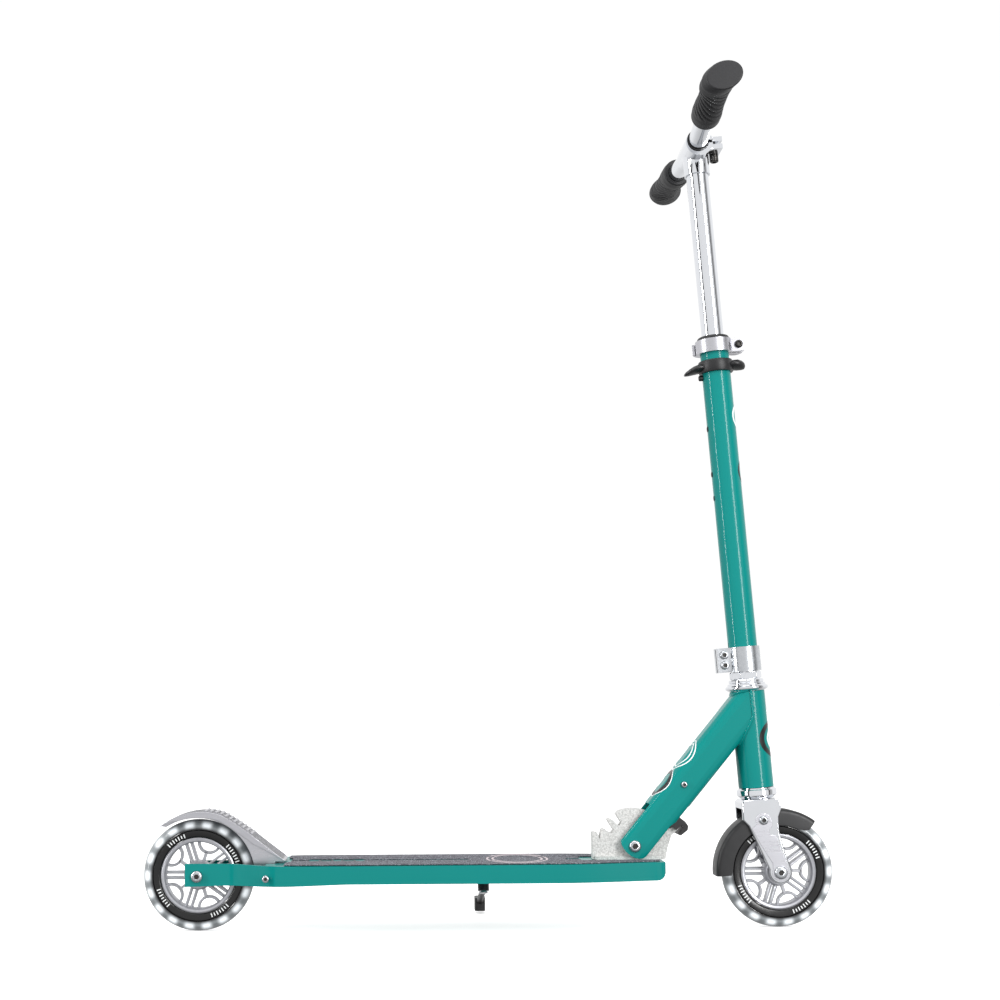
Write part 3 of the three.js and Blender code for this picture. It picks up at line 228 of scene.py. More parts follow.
@dataclass(frozen=True)
class Finish:
    """A real surface: what it is made of and how it was finished."""

    label: str
    slot: str
    colour: str
    roughness: float
    metallic: float = 0.0
    coat: float = 0.0
    specular: float = 0.5
    mottle: str = ""  # colour that the surface drifts towards
    mottle_mm: float = 12.0
    mottle_amount: float = 0.25
    grain_mm: float = 0.8
    grain_depth_mm: float = 0.01
    rough_swing: float = 0.05  # how far the roughness drifts either way
    stretch: tuple[float, float, float] = (1.0, 1.0, 1.0)

    def material(self) -> bpy.types.Material:
        """Returns this finish's material, made once."""
        known = bpy.data.materials.get(self.label)
        if known:
            return known
        made = bpy.data.materials.new(self.label)
        made.use_nodes = True
        tree = made.node_tree
        shader = tree.nodes["Principled BSDF"]
        shader.inputs["Base Color"].default_value = linear(self.colour)
        shader.inputs["Roughness"].default_value = self.roughness
        shader.inputs["Metallic"].default_value = self.metallic
        shader.inputs["Coat Weight"].default_value = self.coat
        shader.inputs["Coat Roughness"].default_value = 0.04
        shader.inputs["Specular IOR Level"].default_value = self.specular
        self.dress(tree, shader)
        return made

    def noise(
        self, tree: bpy.types.NodeTree, size_mm: float, detail: float = 3.0
    ) -> bpy.types.Node:
        """Adds a noise whose features are size_mm across.

        Args:
            tree: The material's tree.
            size_mm: Size of one blotch.
            detail: Octaves of finer noise.

        Returns:
            The noise node.
        """
        place = add_node(tree, "ShaderNodeTexCoord")
        spread = add_node(
            tree, "ShaderNodeMapping", {"Vector": place.outputs["Object"], "Scale": self.stretch}
        )
        return add_node(
            tree,
            "ShaderNodeTexNoise",
            {"Vector": spread.outputs["Vector"], "Scale": 1.0 / (size_mm * MM), "Detail": detail},
        )

    def bump(
        self, tree: bpy.types.NodeTree, shader: Shader, height: Socket, depth_mm: float
    ) -> None:
        """Links a height pattern to the shader's normal.

        Args:
            tree: The material's tree.
            shader: The Principled BSDF.
            height: The output socket that holds the height.
            depth_mm: Real depth of the relief.
        """
        relief = add_node(
            tree,
            "ShaderNodeBump",
            {"Height": height, "Distance": depth_mm * MM, "Strength": 1.0},
        )
        tree.links.new(relief.outputs["Normal"], shader.inputs["Normal"])

    def dress(self, tree: bpy.types.NodeTree, shader: Shader) -> None:
        """Adds the drift of colour and roughness, and the fine relief.

        Args:
            tree: The material's tree.
            shader: The Principled BSDF.
        """
        drift = self.noise(tree, self.mottle_mm)
        if self.mottle:
            share = mapped(tree, drift.outputs["Fac"], (0.35, 0.7), (0.0, self.mottle_amount))
            colour = blended(tree, share, linear(self.colour), linear(self.mottle))
            tree.links.new(colour, shader.inputs["Base Color"])
        low, high = self.roughness - self.rough_swing, self.roughness + self.rough_swing
        swing = mapped(tree, drift.outputs["Fac"], (0.3, 0.7), (max(0.02, low), high))
        tree.links.new(swing, shader.inputs["Roughness"])
        grain = self.noise(tree, self.grain_mm, 2.0)
        self.bump(tree, shader, grain.outputs["Fac"], self.grain_depth_mm)


@dataclass(frozen=True)
class GritFinish(Finish):
    """Abrasive sheet: dark binder with grains that stand out of it, a share of them lightened as
    painted glints.
    """

    grit_mm: float = 0.9  # real grains are 0.4 mm; drawn coarser so that they show

    def dress(self, tree: bpy.types.NodeTree, shader: Shader) -> None:
        """Adds grains in relief, with painted glints: a few of them lightened towards the pale
        colour.
        """
        place = add_node(tree, "ShaderNodeTexCoord")
        grains = add_node(
            tree,
            "ShaderNodeTexVoronoi",
            {"Vector": place.outputs["Object"], "Scale": 1.0 / (self.grit_mm * MM)},
        )
        tone = add_node(tree, "ShaderNodeSeparateColor", {0: grains.outputs["Color"]})
        # Pale tone on the brightest grains: painted glints.
        painted_glint = mapped(tree, tone.outputs[0], (0.72, 1.0), (0.0, 0.8))
        colour = blended(tree, painted_glint, linear(self.colour), linear(self.mottle))
        tree.links.new(colour, shader.inputs["Base Color"])
        self.bump(tree, shader, grains.outputs["Distance"], self.grain_depth_mm)


@dataclass(frozen=True)
class LitTyreFinish(Finish):
    """Clear cast polyurethane with a lamp behind each glowing spot.

    The map's U runs round the wheel and V from the core outwards.
    """

    lamps: int = 18
    lamp_colour: str = "f6fbff"
    glow: float = 0.42

    def dress(self, tree: bpy.types.NodeTree, shader: Shader) -> None:
        """Adds soft white spots between greyer gaps, and the glow itself."""
        uv = add_node(tree, "ShaderNodeUVMap", uv_map="around")
        parts = add_node(tree, "ShaderNodeSeparateXYZ", {0: uv.outputs["UV"]})
        along, outward, soft = parts.outputs["X"], parts.outputs["Y"], "SMOOTHSTEP"
        turns = reckoned(tree, "MULTIPLY", along, 2 * math.pi * self.lamps)
        wave = reckoned(tree, "COSINE", turns)
        spot = mapped(tree, wave, (-1.0, 1.0), (0.0, 1.0), soft)
        rise = mapped(tree, outward, (0.0, 0.55), (0.0, 1.0), soft)
        fall = mapped(tree, outward, (0.5, 1.0), (1.0, 0.0), soft)
        light = reckoned(tree, "MULTIPLY", spot, reckoned(tree, "MULTIPLY", rise, fall))
        depth = mapped(tree, outward, (0.0, 0.38), (0.0, 1.0), soft)
        body = blended(tree, depth, linear(self.mottle), linear(self.colour))
        colour = blended(tree, light, body, linear(self.lamp_colour))
        tree.links.new(colour, shader.inputs["Base Color"])
        shader.inputs["Emission Color"].default_value = linear(self.lamp_colour)
        strength = reckoned(tree, "MULTIPLY", light, self.glow)
        tree.links.new(strength, shader.inputs["Emission Strength"])
        shader.inputs["Transmission Weight"].default_value = 0.12
        grain = self.noise(tree, self.grain_mm, 2.0)
        self.bump(tree, shader, grain.outputs["Fac"], self.grain_depth_mm)


# Powder coat over aluminium: a deep colour under a clear, faintly rippled gloss.
POWDER_COAT = Finish(
    "powder_coat_teal", "teal_paint", "007f7a", 0.3, coat=0.3, specular=0.08, mottle="007773",
    mottle_mm=90,
    mottle_amount=0.2, grain_mm=1.6, grain_depth_mm=0.0012, rough_swing=0.03,
)
# Silicon carbide grit on a dark film, with painted glints in the pale colour.
GRIT_SHEET = GritFinish(
    "grit_sheet", "grip_tape", "4a4a52", 0.8, mottle="b9bcc4", grain_depth_mm=0.35
)
# Sand-cast aluminium, bead blasted: pale, dull and speckled.
BLASTED_CAST = Finish(
    "blasted_cast_aluminium", "cast_aluminium", "d6d6d4", 0.6, metallic=0.15, mottle="a2a2a0",
    mottle_mm=1.7, mottle_amount=0.85, grain_mm=1.3, grain_depth_mm=0.3,
)
# Aluminium brushed along the scooter, then polished.
BRUSHED_POLISH = Finish(
    "brushed_polished_aluminium", "polished_aluminium", "c2c2c7", 0.3, metallic=0.95,
    mottle="aeaeb5", mottle_mm=2.5, mottle_amount=0.35, grain_mm=0.9, grain_depth_mm=0.0015,
    stretch=(0.08, 1.0, 1.0),
)
# Decorative chrome over steel: a mirror, faintly uneven.
CHROME_PLATE = Finish(
    "chrome_plate", "chrome", "e4e6ea", 0.07, metallic=1.0, mottle="d2d5da", mottle_mm=30,
    grain_mm=9, grain_depth_mm=0.0015, rough_swing=0.02,
)
# Zinc plate on fasteners and stamped steel: bright but soft.
ZINC_PLATE = Finish(
    "zinc_plate", "zinc_steel", "c9ccd0", 0.24, metallic=1.0, mottle="b0b3b8", mottle_mm=3,
    mottle_amount=0.5, grain_mm=0.7, grain_depth_mm=0.002, rough_swing=0.06,
)
# Blackened steel screws; the same finish paints the shade at the bottom of every bolt's socket.
BLACK_OXIDE_AND_SOCKET_SHADE = Finish(
    "black_oxide_steel", "zinc_steel", "3c3b3a", 0.34, metallic=0.9, mottle="5b5855", mottle_mm=2,
    grain_mm=0.5, grain_depth_mm=0.01,
)
# Glass-filled nylon from a spark-eroded mould.
MOULDED_NYLON = Finish(
    "moulded_nylon_black", "black_plastic", "151517", 0.42, mottle="1e1e21", mottle_mm=9,
    grain_mm=0.55, grain_depth_mm=0.02, rough_swing=0.07,
)
# Soft thermoplastic rubber with a matt skin.
GRIP_RUBBER = Finish(
    "grip_rubber_charcoal", "grip_rubber", "161619", 0.56, mottle="1f1f22", mottle_mm=14,
    grain_mm=0.45, grain_depth_mm=0.03, rough_swing=0.06,
)
# Glossy black moulding under the clear tyre.
CORE_GLOSS = Finish(
    "core_gloss_black", "core_plastic", "070708", 0.24, mottle="0e0e10", mottle_mm=7,
    grain_mm=1.2, grain_depth_mm=0.004,
)
# Silver pigmented nylon, with the pearly flow of its flakes.
RIM_SILVER = Finish(
    "silver_pigment_nylon", "rim_plastic", "b4b5ba", 0.36, metallic=0.6, mottle="8c8d94",
    mottle_mm=4, mottle_amount=0.35, grain_mm=0.6, grain_depth_mm=0.01, rough_swing=0.06,
)
LIT_TYRE = LitTyreFinish(
    "clear_urethane_lit", "clear_tyre", "8b9093", 0.14, coat=0.25, mottle="1d1e20", grain_mm=3,
    grain_depth_mm=0.002,
)
# Screen-printed inks; the black one also paints the shade inside the stem's rear holes.
WHITE_INK = Finish(
    "white_ink", "teal_paint", "eef1f1", 0.4, mottle="dfe4e4", grain_mm=0.4, grain_depth_mm=0.004
)
BLACK_INK_AND_HOLE_SHADE = Finish(
    "black_ink_and_hole_shade", "teal_paint", "101112", 0.35, mottle="1b1c1e", grain_mm=0.4, grain_depth_mm=0.004
)
PALE_INK = Finish(
    "pale_pink_ink", "grip_tape", "cdbfc2", 0.6, mottle="a39a9d", mottle_mm=1.5,
    mottle_amount=0.8, grain_mm=0.5, grain_depth_mm=0.05,
)


# ------------------------------------------------------------------------------------- shapes


def facet_scale(angle: float, sides: int) -> float:
    """How far a polygon's flats come in from its corner circle at an angle."""
    step = 2 * math.pi / sides
    offset = (angle + step / 2) % step - step / 2
    corner = math.cos(step / 2)
    return corner / math.cos(step / 2 - abs(offset))


def turned(
    mesh: bmesh.types.BMesh, profile: Profile, place: Matrix, segments: int = 72
) -> None:
    """Adds a solid of revolution about local Z, with its map.

    Args:
        mesh: The mesh that receives it.
        profile: (radius, height) points; a third number makes that ring a polygon with so many
            sides. It starts and ends on the axis, or closes on itself.
        place: Local frame to row frame, in millimetres.
        segments: Facets around the axis.
    """
    layer = mesh.loops.layers.uv.get("around") or mesh.loops.layers.uv.new("around")
    radii = [point[0] for point in profile]
    low, high = min(radii), max(radii)
    closed = profile[0][0] > 0
    rings = []
    for i in range(segments):
        angle = 2 * math.pi * i / segments
        ring = []
        for point in profile:
            radius = point[0]
            if len(point) > 2 and point[2]:
                radius *= facet_scale(angle, int(point[2]))
            spot = Vector((radius * math.cos(angle), radius * math.sin(angle), point[1]))
            ring.append(mesh.verts.new(place @ spot))
        rings.append(ring)
    count = len(profile)
    for i in range(segments):
        here, after = rings[i], rings[(i + 1) % segments]
        for k in range(count if closed else count - 1):
            n = (k + 1) % count
            face = mesh.faces.new((here[k], after[k], after[n], here[n]))
            for loop, (column, row) in zip(face.loops, ((0, k), (1, k), (1, n), (0, n))):
                share = (radii[row] - low) / max(high - low, 1e-6)
                loop[layer].uv = ((i + column) / segments, share)


def tube(radius: float, bore: float, low: float, high: float, lip: float = 0.4) -> Profile:
    """Profile of a round tube with eased ends."""
    return (
        (bore, low), (radius - lip, low), (radius, low + lip), (radius, high - lip),
        (radius - lip, high), (bore, high),
    )


def loft(
    mesh: bmesh.types.BMesh, rings: Sequence[Sequence[Vector]], loop: bool = False
) -> None:
    """Skins a row of closed rings of equal count.

    Args:
        mesh: The mesh that receives the skin.
        rings: The rings, in order.
        loop: True when the last ring joins the first; otherwise both ends are capped.
    """
    rows = [[mesh.verts.new(spot) for spot in ring] for ring in rings]
    count = len(rows[0])
    pairs = list(zip(rows, rows[1:])) + ([(rows[-1], rows[0])] if loop else [])
    for first, second in pairs:
        for k in range(count):
            n = (k + 1) % count
            mesh.faces.new((first[k], first[n], second[n], second[k]))
    if not loop:
        mesh.faces.new(rows[0][::-1])
        mesh.faces.new(rows[-1])


def slab(
    mesh: bmesh.types.BMesh, outline: Sequence[Point], low: float, high: float, place: Matrix
) -> None:
    """Adds a flat outline in local X and Y, extruded along local Z."""
    rings = [[place @ Vector((x, y, z)) for x, y in outline] for z in (low, high)]
    loft(mesh, rings)


def cord_ring(path: Sequence[Vector], radius: float, sides: int = 10) -> list[list[Vector]]:
    """Rings of a round bead that follows a closed path.

    Args:
        path: Points of the closed path.
        radius: The bead's radius.
        sides: Facets around the bead.

    Returns:
        One ring for each point.
    """
    rings = []
    count = len(path)
    middle = sum(path, Vector()) / count
    for i, spot in enumerate(path):
        along = (path[(i + 1) % count] - path[i - 1]).normalized()
        outward = (spot - middle) - (spot - middle).dot(along) * along
        outward.normalize()
        across = along.cross(outward)
        rings.append([
            spot + radius * (math.cos(a) * outward + math.sin(a) * across)
            for a in (2 * math.pi * k / sides for k in range(sides))
        ])
    return rings


def arc(cx: float, cy: float, radius: float, start: float, end: float, steps: int) -> list[Point]:
    """Points of an arc, in degrees."""
    angles = (math.radians(start + (end - start) * i / steps) for i in range(steps + 1))
    return [(cx + radius * math.cos(a), cy + radius * math.sin(a)) for a in angles]


def smooth_curve(points: Sequence[Point], steps: int) -> list[Point]:
    """Catmull-Rom curve through the points.

    Args:
        points: Points that the curve passes.
        steps: Steps between each two of them.

    Returns:
        The points of the curve.
    """
    padded = [points[0], *points, points[-1]]
    result: list[Point] = []
    for a, b, c, d in zip(padded, padded[1:], padded[2:], padded[3:]):
        for i in range(steps):
            t = i / steps
            result.append(tuple(
                0.5 * (2 * q + (r - p) * t + (2 * p - 5 * q + 4 * r - s) * t * t
                       + (3 * q - p - 3 * r + s) * t ** 3)
                for p, q, r, s in zip(a, b, c, d)
            ))
    return [*result, points[-1]]


def blend_table(table: Sequence[Point], at: float) -> float:
    """Smoothly reads a table of (position, value) pairs."""
    if at <= table[0][0]:
        return table[0][1]
    for (p, a), (q, b) in zip(table, table[1:]):
        if at <= q:
            t = (at - p) / (q - p)
            t = t * t * (3 - 2 * t)
            return a + (b - a) * t
    return table[-1][1]


def wrapped_ring(
    mesh: bmesh.types.BMesh,
    surface: Surface,
    inner: float,
    outer: float,
    start: float = 0.0,
    end: float = 360.0,
    squeeze: float = 1.0,
) -> None:
    """Adds a thin printed ring, or part of one, that lies on a surface.

    Args:
        mesh: The mesh that receives the ring.
        surface: Gives the row point for (along, around, lift) in millimetres.
        inner: Inner radius of the print.
        outer: Outer radius of the print.
        start: First angle in degrees.
        end: Last angle in degrees.
        squeeze: Factor on the size across.
    """
    steps = max(12, round(abs(end - start) / 5))
    whole = abs(end - start) >= 360
    rings = []
    for i in range(steps if whole else steps + 1):
        angle = math.radians(start + (end - start) * i / steps)
        ring = []
        span = [inner + (outer - inner) * k / 4 for k in range(5)]
        edge = [(r, -0.15) for r in span] + [(r, 0.12) for r in reversed(span)]
        for radius, lift in edge:
            along, around = radius * math.cos(angle), radius * math.sin(angle) * squeeze
            ring.append(surface(along, around, lift))
        rings.append(ring)
    loft(mesh, rings, loop=whole)


# ------------------------------------------------------------------------------------- workshop


@dataclass
class Workshop:
    """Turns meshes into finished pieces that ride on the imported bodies."""

    frame: dict
    made: list[str] = field(default_factory=list)

    def piece(
        self,
        name: str,
        mesh: bmesh.types.BMesh,
        finish: Finish,
        body: Body,
        replaced: Iterable[str] = (),
        bevel: float = 0.0,
        crease: float = 34.0,
    ) -> bpy.types.Object:
        """Finishes a mesh in millimetres as one piece.

        Args:
            name: The piece's name.
            mesh: Its mesh, which is used up.
            finish: Its finish.
            body: The body that it rides on.
            replaced: CAD nodes that it stands for.
            bevel: Width of its eased edges, in millimetres.
            crease: Angle in degrees above which an edge stays sharp.

        Returns:
            The new object.
        """
        bmesh.ops.remove_doubles(mesh, verts=mesh.verts, dist=WELD_MM)
        bmesh.ops.recalc_face_normals(mesh, faces=mesh.faces)
        bmesh.ops.scale(mesh, vec=(MM, MM, MM), verts=mesh.verts)
        data = bpy.data.meshes.new(name)
        mesh.to_mesh(data)
        mesh.free()
        data.shade_smooth()
        data.set_sharp_from_angle(angle=math.radians(crease))
        data.materials.append(finish.material())
        made = bpy.data.objects.new(name, data)
        bpy.context.scene.collection.objects.link(made)
        if bevel:
            ease = made.modifiers.new("eased_edges", "BEVEL")
            ease.width = bevel * MM
            ease.segments = 3
            ease.limit_method = "ANGLE"
            ease.angle_limit = math.radians(crease)
            ease.harden_normals = True
        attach(made, body.value)
        nodes = tuple(replaced)
        if nodes:
            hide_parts(*nodes)
        self.made.append(name)
        LOG.info("%s: %d faces on %s", name, len(data.polygons), body.value)
        return made

    def node_mesh(self, node: str) -> bmesh.types.BMesh:
        """Copies a CAD node's mesh, in millimetres, with its flat faces whole."""
        mesh = bmesh.new()
        mesh.from_mesh(self.frame["nodes"][node].data)
        bmesh.ops.scale(mesh, vec=(1 / MM,) * 3, verts=mesh.verts)
        bmesh.ops.remove_doubles(mesh, verts=mesh.verts, dist=WELD_MM)
        bmesh.ops.dissolve_limit(
            mesh, angle_limit=math.radians(0.6), verts=mesh.verts, edges=mesh.edges
        )
        return mesh

    def refine(
        self,
        node: str,
        finish: Finish,
        body: Body,
        bevel: float = 0.5,
        crease: float = 34.0,
    ) -> bpy.types.Object:
        """Replaces a CAD node by its own shape with eased edges."""
        mesh = self.node_mesh(node)
        return self.piece(f"{node}_finished", mesh, finish, body, (node,), bevel, crease)

    def carry(self, node: str, finish: Finish) -> None:
        """Keeps a CAD node's shape and gives it its finish."""
        for holder in self.frame["nodes"][node].material_slots:
            holder.link = "OBJECT"
            holder.material = finish.material()
        LOG.info("%s: carried over", node)

    def grown(
        self,
        seed: bmesh.types.BMesh,
        tree: bpy.types.NodeTree,
        values: dict[str, float | int],
        finish: Finish,
    ) -> bpy.types.Mesh:
        """Runs a node tree on a seed mesh and returns the plain result.

        Args:
            seed: Seed mesh in millimetres, which is used up.
            tree: The geometry node tree.
            values: The tree's inputs by name.
            finish: The finish that the tree sets.

        Returns:
            The evaluated mesh, in millimetres.
        """
        data = bpy.data.meshes.new("seed")
        seed.to_mesh(data)
        seed.free()
        data.materials.append(finish.material())
        holder = bpy.data.objects.new("seed", data)
        bpy.context.scene.collection.objects.link(holder)
        modifier = holder.modifiers.new("grow", "NODES")
        modifier.node_group = tree
        for item in tree.interface.items_tree:
            if item.item_type == "SOCKET" and item.in_out == "INPUT" and item.name in values:
                modifier[item.identifier] = values[item.name]
        bpy.context.view_layer.update()
        graph = bpy.context.evaluated_depsgraph_get()
        result = bpy.data.meshes.new_from_object(holder.evaluated_get(graph))
        holder.modifiers.remove(modifier)
        bpy.data.objects.remove(holder)
        return result


def tree_with(name: str, inputs: dict[str, str]) -> bpy.types.NodeTree:
    """Starts a geometry node tree with named inputs.

    Args:
        name: The tree's name.
        inputs: Socket type for each input's name, besides the geometry.

    Returns:
        The tree, with its group input and output nodes.
    """
    tree = bpy.data.node_groups.new(name, "GeometryNodeTree")
    tree.interface.new_socket("Geometry", in_out="INPUT", socket_type="NodeSocketGeometry")
    for key, kind in inputs.items():
        tree.interface.new_socket(key, in_out="INPUT", socket_type=kind)
    tree.interface.new_socket("Geometry", in_out="OUTPUT", socket_type="NodeSocketGeometry")
    add_node(tree, "NodeGroupInput")
    return tree


def close_tree(
    tree: bpy.types.NodeTree, shape: Socket, finish: Finish
) -> bpy.types.NodeTree:
    """Ends a tree in Realize Instances and Set Material.

    Args:
        tree: The tree.
        shape: Output socket of the finished shape.
        finish: The finish that the shape gets.

    Returns:
        The same tree.
    """
    real = add_node(tree, "GeometryNodeRealizeInstances", {0: shape})
    dressed = add_node(
        tree,
        "GeometryNodeSetMaterial",
        {"Geometry": real.outputs[0], "Material": finish.material()},
    )
    add_node(tree, "NodeGroupOutput", {0: dressed.outputs[0]})
    return tree


def spoke_wheel_tree(finish: Finish) -> bpy.types.NodeTree:
    """Repeats the seed evenly about Z: "Count" copies, the first turned by "Start" degrees."""
    tree = tree_with(
        f"around_the_hub_{finish.label}", {"Count": "NodeSocketInt", "Start": "NodeSocketFloat"}
    )
    given = tree.nodes["Group Input"]
    points = add_node(tree, "GeometryNodePoints", {"Count": given.outputs["Count"]})
    index = add_node(tree, "GeometryNodeInputIndex")
    step = reckoned(tree, "DIVIDE", 2 * math.pi, given.outputs["Count"])
    turn = reckoned(tree, "MULTIPLY", index.outputs[0], step)
    start = reckoned(tree, "RADIANS", given.outputs["Start"])
    vector = add_node(tree, "ShaderNodeCombineXYZ", {"Z": reckoned(tree, "ADD", turn, start)})
    copies = add_node(
        tree,
        "GeometryNodeInstanceOnPoints",
        {
            "Points": points.outputs[0],
            "Instance": given.outputs["Geometry"],
            "Rotation": vector.outputs[0],
        },
    )
    return close_tree(tree, copies.outputs[0], finish)


def rib_tree(finish: Finish) -> bpy.types.NodeTree:
    """Lays "Count" round ribs, "Length" wide and "Radius" thick, along the seed's edges."""
    tree = tree_with(
        "tread_ribs",
        {"Count": "NodeSocketInt", "Length": "NodeSocketFloat", "Radius": "NodeSocketFloat"},
    )
    given = tree.nodes["Group Input"]
    line = add_node(tree, "GeometryNodeMeshToCurve", {0: given.outputs["Geometry"]})
    spaced = add_node(
        tree,
        "GeometryNodeResampleCurve",
        {"Curve": line.outputs[0], "Count": given.outputs["Count"]},
    )
    rib = add_node(
        tree,
        "GeometryNodeMeshCylinder",
        {"Vertices": 16, "Radius": given.outputs["Radius"], "Depth": given.outputs["Length"]},
    )
    across = add_node(
        tree,
        "GeometryNodeTransform",
        {"Geometry": rib.outputs["Mesh"], "Rotation": (math.pi / 2, 0.0, 0.0)},
    )
    copies = add_node(
        tree,
        "GeometryNodeInstanceOnPoints",
        {"Points": spaced.outputs[0], "Instance": across.outputs[0]},
    )
    return close_tree(tree, copies.outputs[0], finish)


def add_mesh(target: bmesh.types.BMesh, source: bpy.types.Mesh, place: Matrix) -> None:
    """Adds a mesh in millimetres to another, through a frame, and frees it."""
    extra = bmesh.new()
    extra.from_mesh(source)
    extra.transform(place)
    scratch = bpy.data.meshes.new("scratch")
    extra.to_mesh(scratch)
    extra.free()
    target.from_mesh(scratch)
    bpy.data.meshes.remove(scratch)
    bpy.data.meshes.remove(source)


# ------------------------------------------------------------------------------------- wheels


@dataclass
class Wheel:
    """A 125 mm wheel: clear lit tyre, black core ring, silver double-spoke rim and bearings."""

    prefix: str
    body: Body
    sign: int
    tyre_r: float = 62.5
    tyre_half: float = 12.0
    core_r: float = 51.0
    core_half: float = 10.5
    rim_r: float = 42.2
    rim_half: float = 9.5
    band: float = 5.0
    hub_r: float = 15.0
    bearing_r: float = 11.0
    spokes: int = 5
    bar: float = 2.9
    slot: float = 3.2
    spoke_half: float = 4.5
    bowl_r: float = 10.4
    marks: int = 4

    def spoke_seed(self) -> bmesh.types.BMesh:
        """Two parallel bars along local X, from hub to band."""
        seed = bmesh.new()
        reach = self.rim_r - self.band / 2
        for side in (-1, 1):
            y = side * (self.slot + self.bar) / 2
            rings = []
            for x, half in ((self.hub_r - 2, self.spoke_half + 1.6), (reach, self.spoke_half)):
                h, b = half, self.bar / 2
                rings.append([
                    Vector((x, y - b, -h + 0.8)), Vector((x, y - b + 0.8, -h)),
                    Vector((x, y + b - 0.8, -h)), Vector((x, y + b, -h + 0.8)),
                    Vector((x, y + b, h - 0.8)), Vector((x, y + b - 0.8, h)),
                    Vector((x, y - b + 0.8, h)), Vector((x, y - b, h - 0.8)),
                ])
            loft(seed, rings)
        return seed

    def horseshoe_seed(self) -> bmesh.types.BMesh:
        """A bowl on a short stem, open to the band."""
        seed = bmesh.new()
        h, b = self.spoke_half - 0.6, self.bar / 2
        centre = self.rim_r - self.band / 2 - 1.5
        middle = self.bowl_r + b
        rings = []
        for i in range(25):
            angle = math.radians(90 + 180 * i / 24)
            out = Vector((math.cos(angle), math.sin(angle), 0))
            base = Vector((centre, 0, 0)) + middle * out
            rings.append([
                base + out * dr + Vector((0, 0, dz))
                for dr, dz in (
                    (-b, -h + 0.8), (-b + 0.8, -h), (b - 0.8, -h), (b, -h + 0.8),
                    (b, h - 0.8), (b - 0.8, h), (-b + 0.8, h), (-b, h - 0.8),
                )
            ])
        loft(seed, rings)
        stem_end = centre - self.bowl_r - 1
        slab(
            seed,
            [(self.hub_r - 2, -b), (stem_end, -b), (stem_end, b), (self.hub_r - 2, b)],
            -h, h, Matrix.Identity(4),
        )
        return seed

    def mark_seed(self) -> bmesh.types.BMesh:
        """A short row of plain raised dashes on both faces of the core ring."""
        seed = bmesh.new()
        for face in (-1, 1):
            for k in range(7):
                turn = Matrix.Rotation(math.radians(4.2 * (k - 3)), 4, "Z")
                low, high = (45.0, 48.4) if k % 2 else (44.4, 48.9)
                levels = sorted((face * (self.core_half - 0.3), face * (self.core_half + 0.22)))
                slab(
                    seed, [(low, -0.55), (high, -0.55), (high, 0.55), (low, 0.55)],
                    *levels, turn,
                )
        return seed

    def build(self, shop: Workshop) -> None:
        """Builds the wheel's pieces."""
        place = LAYOUT.axle(self.sign)
        half, crown = self.tyre_half, self.tyre_r - self.tyre_half
        mesh = bmesh.new()
        sides = [(crown + x, y) for x, y in arc(0, 0, half, -60, 60, 26)]
        inner = self.core_r + 0.3
        turned(
            mesh, [(inner, -10.5), (53.5, -10.9), *sides, (53.5, 10.9), (inner, 10.5)], place, 180
        )
        shop.piece(
            f"{self.prefix}_tyre_clear", mesh, LIT_TYRE, self.body, (f"{self.prefix}_tyre",),
            crease=50,
        )

        mesh = bmesh.new()
        ch, low = self.core_half, self.rim_r + 0.35
        turned(mesh, [
            (low, -ch + 1.2), (low + 1, -ch + 0.3), (low + 1.6, -ch), (self.core_r - 1, -ch),
            (self.core_r, -ch + 0.8), (self.core_r, ch - 0.8), (self.core_r - 1, ch),
            (low + 1.6, ch), (low + 1, ch - 0.3), (low, ch - 1.2),
        ], place, 144)
        shop.piece(
            f"{self.prefix}_core_black", mesh, CORE_GLOSS, self.body,
            (f"{self.prefix}_core_ring",),
        )
        marks = shop.grown(
            self.mark_seed(), spoke_wheel_tree(WHITE_INK), {"Count": self.marks, "Start": 58.0},
            WHITE_INK,
        )
        mesh = bmesh.new()
        add_mesh(mesh, marks, place)
        shop.piece(f"{self.prefix}_core_marks", mesh, WHITE_INK, self.body)

        self.build_rim(shop, place)
        for side in Side:
            self.build_bearing(shop, place, side)

    def build_rim(self, shop: Workshop, place: Matrix) -> None:
        """Builds the band, hub and spokes as one piece."""
        mesh = bmesh.new()
        h, r, b = self.rim_half, self.rim_r, self.band
        turned(mesh, [
            (r - b, -h + 2.2), (r - b + 1.2, -h + 0.4), (r - 1.6, -h), (r, -h + 0.8),
            (r, h - 0.8), (r - 1.6, h), (r - b + 1.2, h - 0.4), (r - b, h - 2.2),
        ], place, 144)
        seat, bore, end = 5.0, self.bearing_r + 0.3, self.tyre_half
        turned(mesh, [
            (6, -seat), (bore, -seat), (bore, -end), (self.hub_r - 0.8, -end),
            (self.hub_r, -end + 0.8), (self.hub_r + 1.8, -3), (self.hub_r + 1.8, 3),
            (self.hub_r, end - 0.8), (self.hub_r - 0.8, end), (bore, end), (bore, seat), (6, seat),
        ], place, 96)
        for seed, start in (
            (self.spoke_seed(), 180.0), (self.horseshoe_seed(), 180.0 + 180.0 / self.spokes),
        ):
            grown = shop.grown(
                seed, spoke_wheel_tree(RIM_SILVER), {"Count": self.spokes, "Start": start},
                RIM_SILVER,
            )
            add_mesh(mesh, grown, place)
        shop.piece(
            f"{self.prefix}_rim_silver", mesh, RIM_SILVER, self.body, (f"{self.prefix}_rim",)
        )

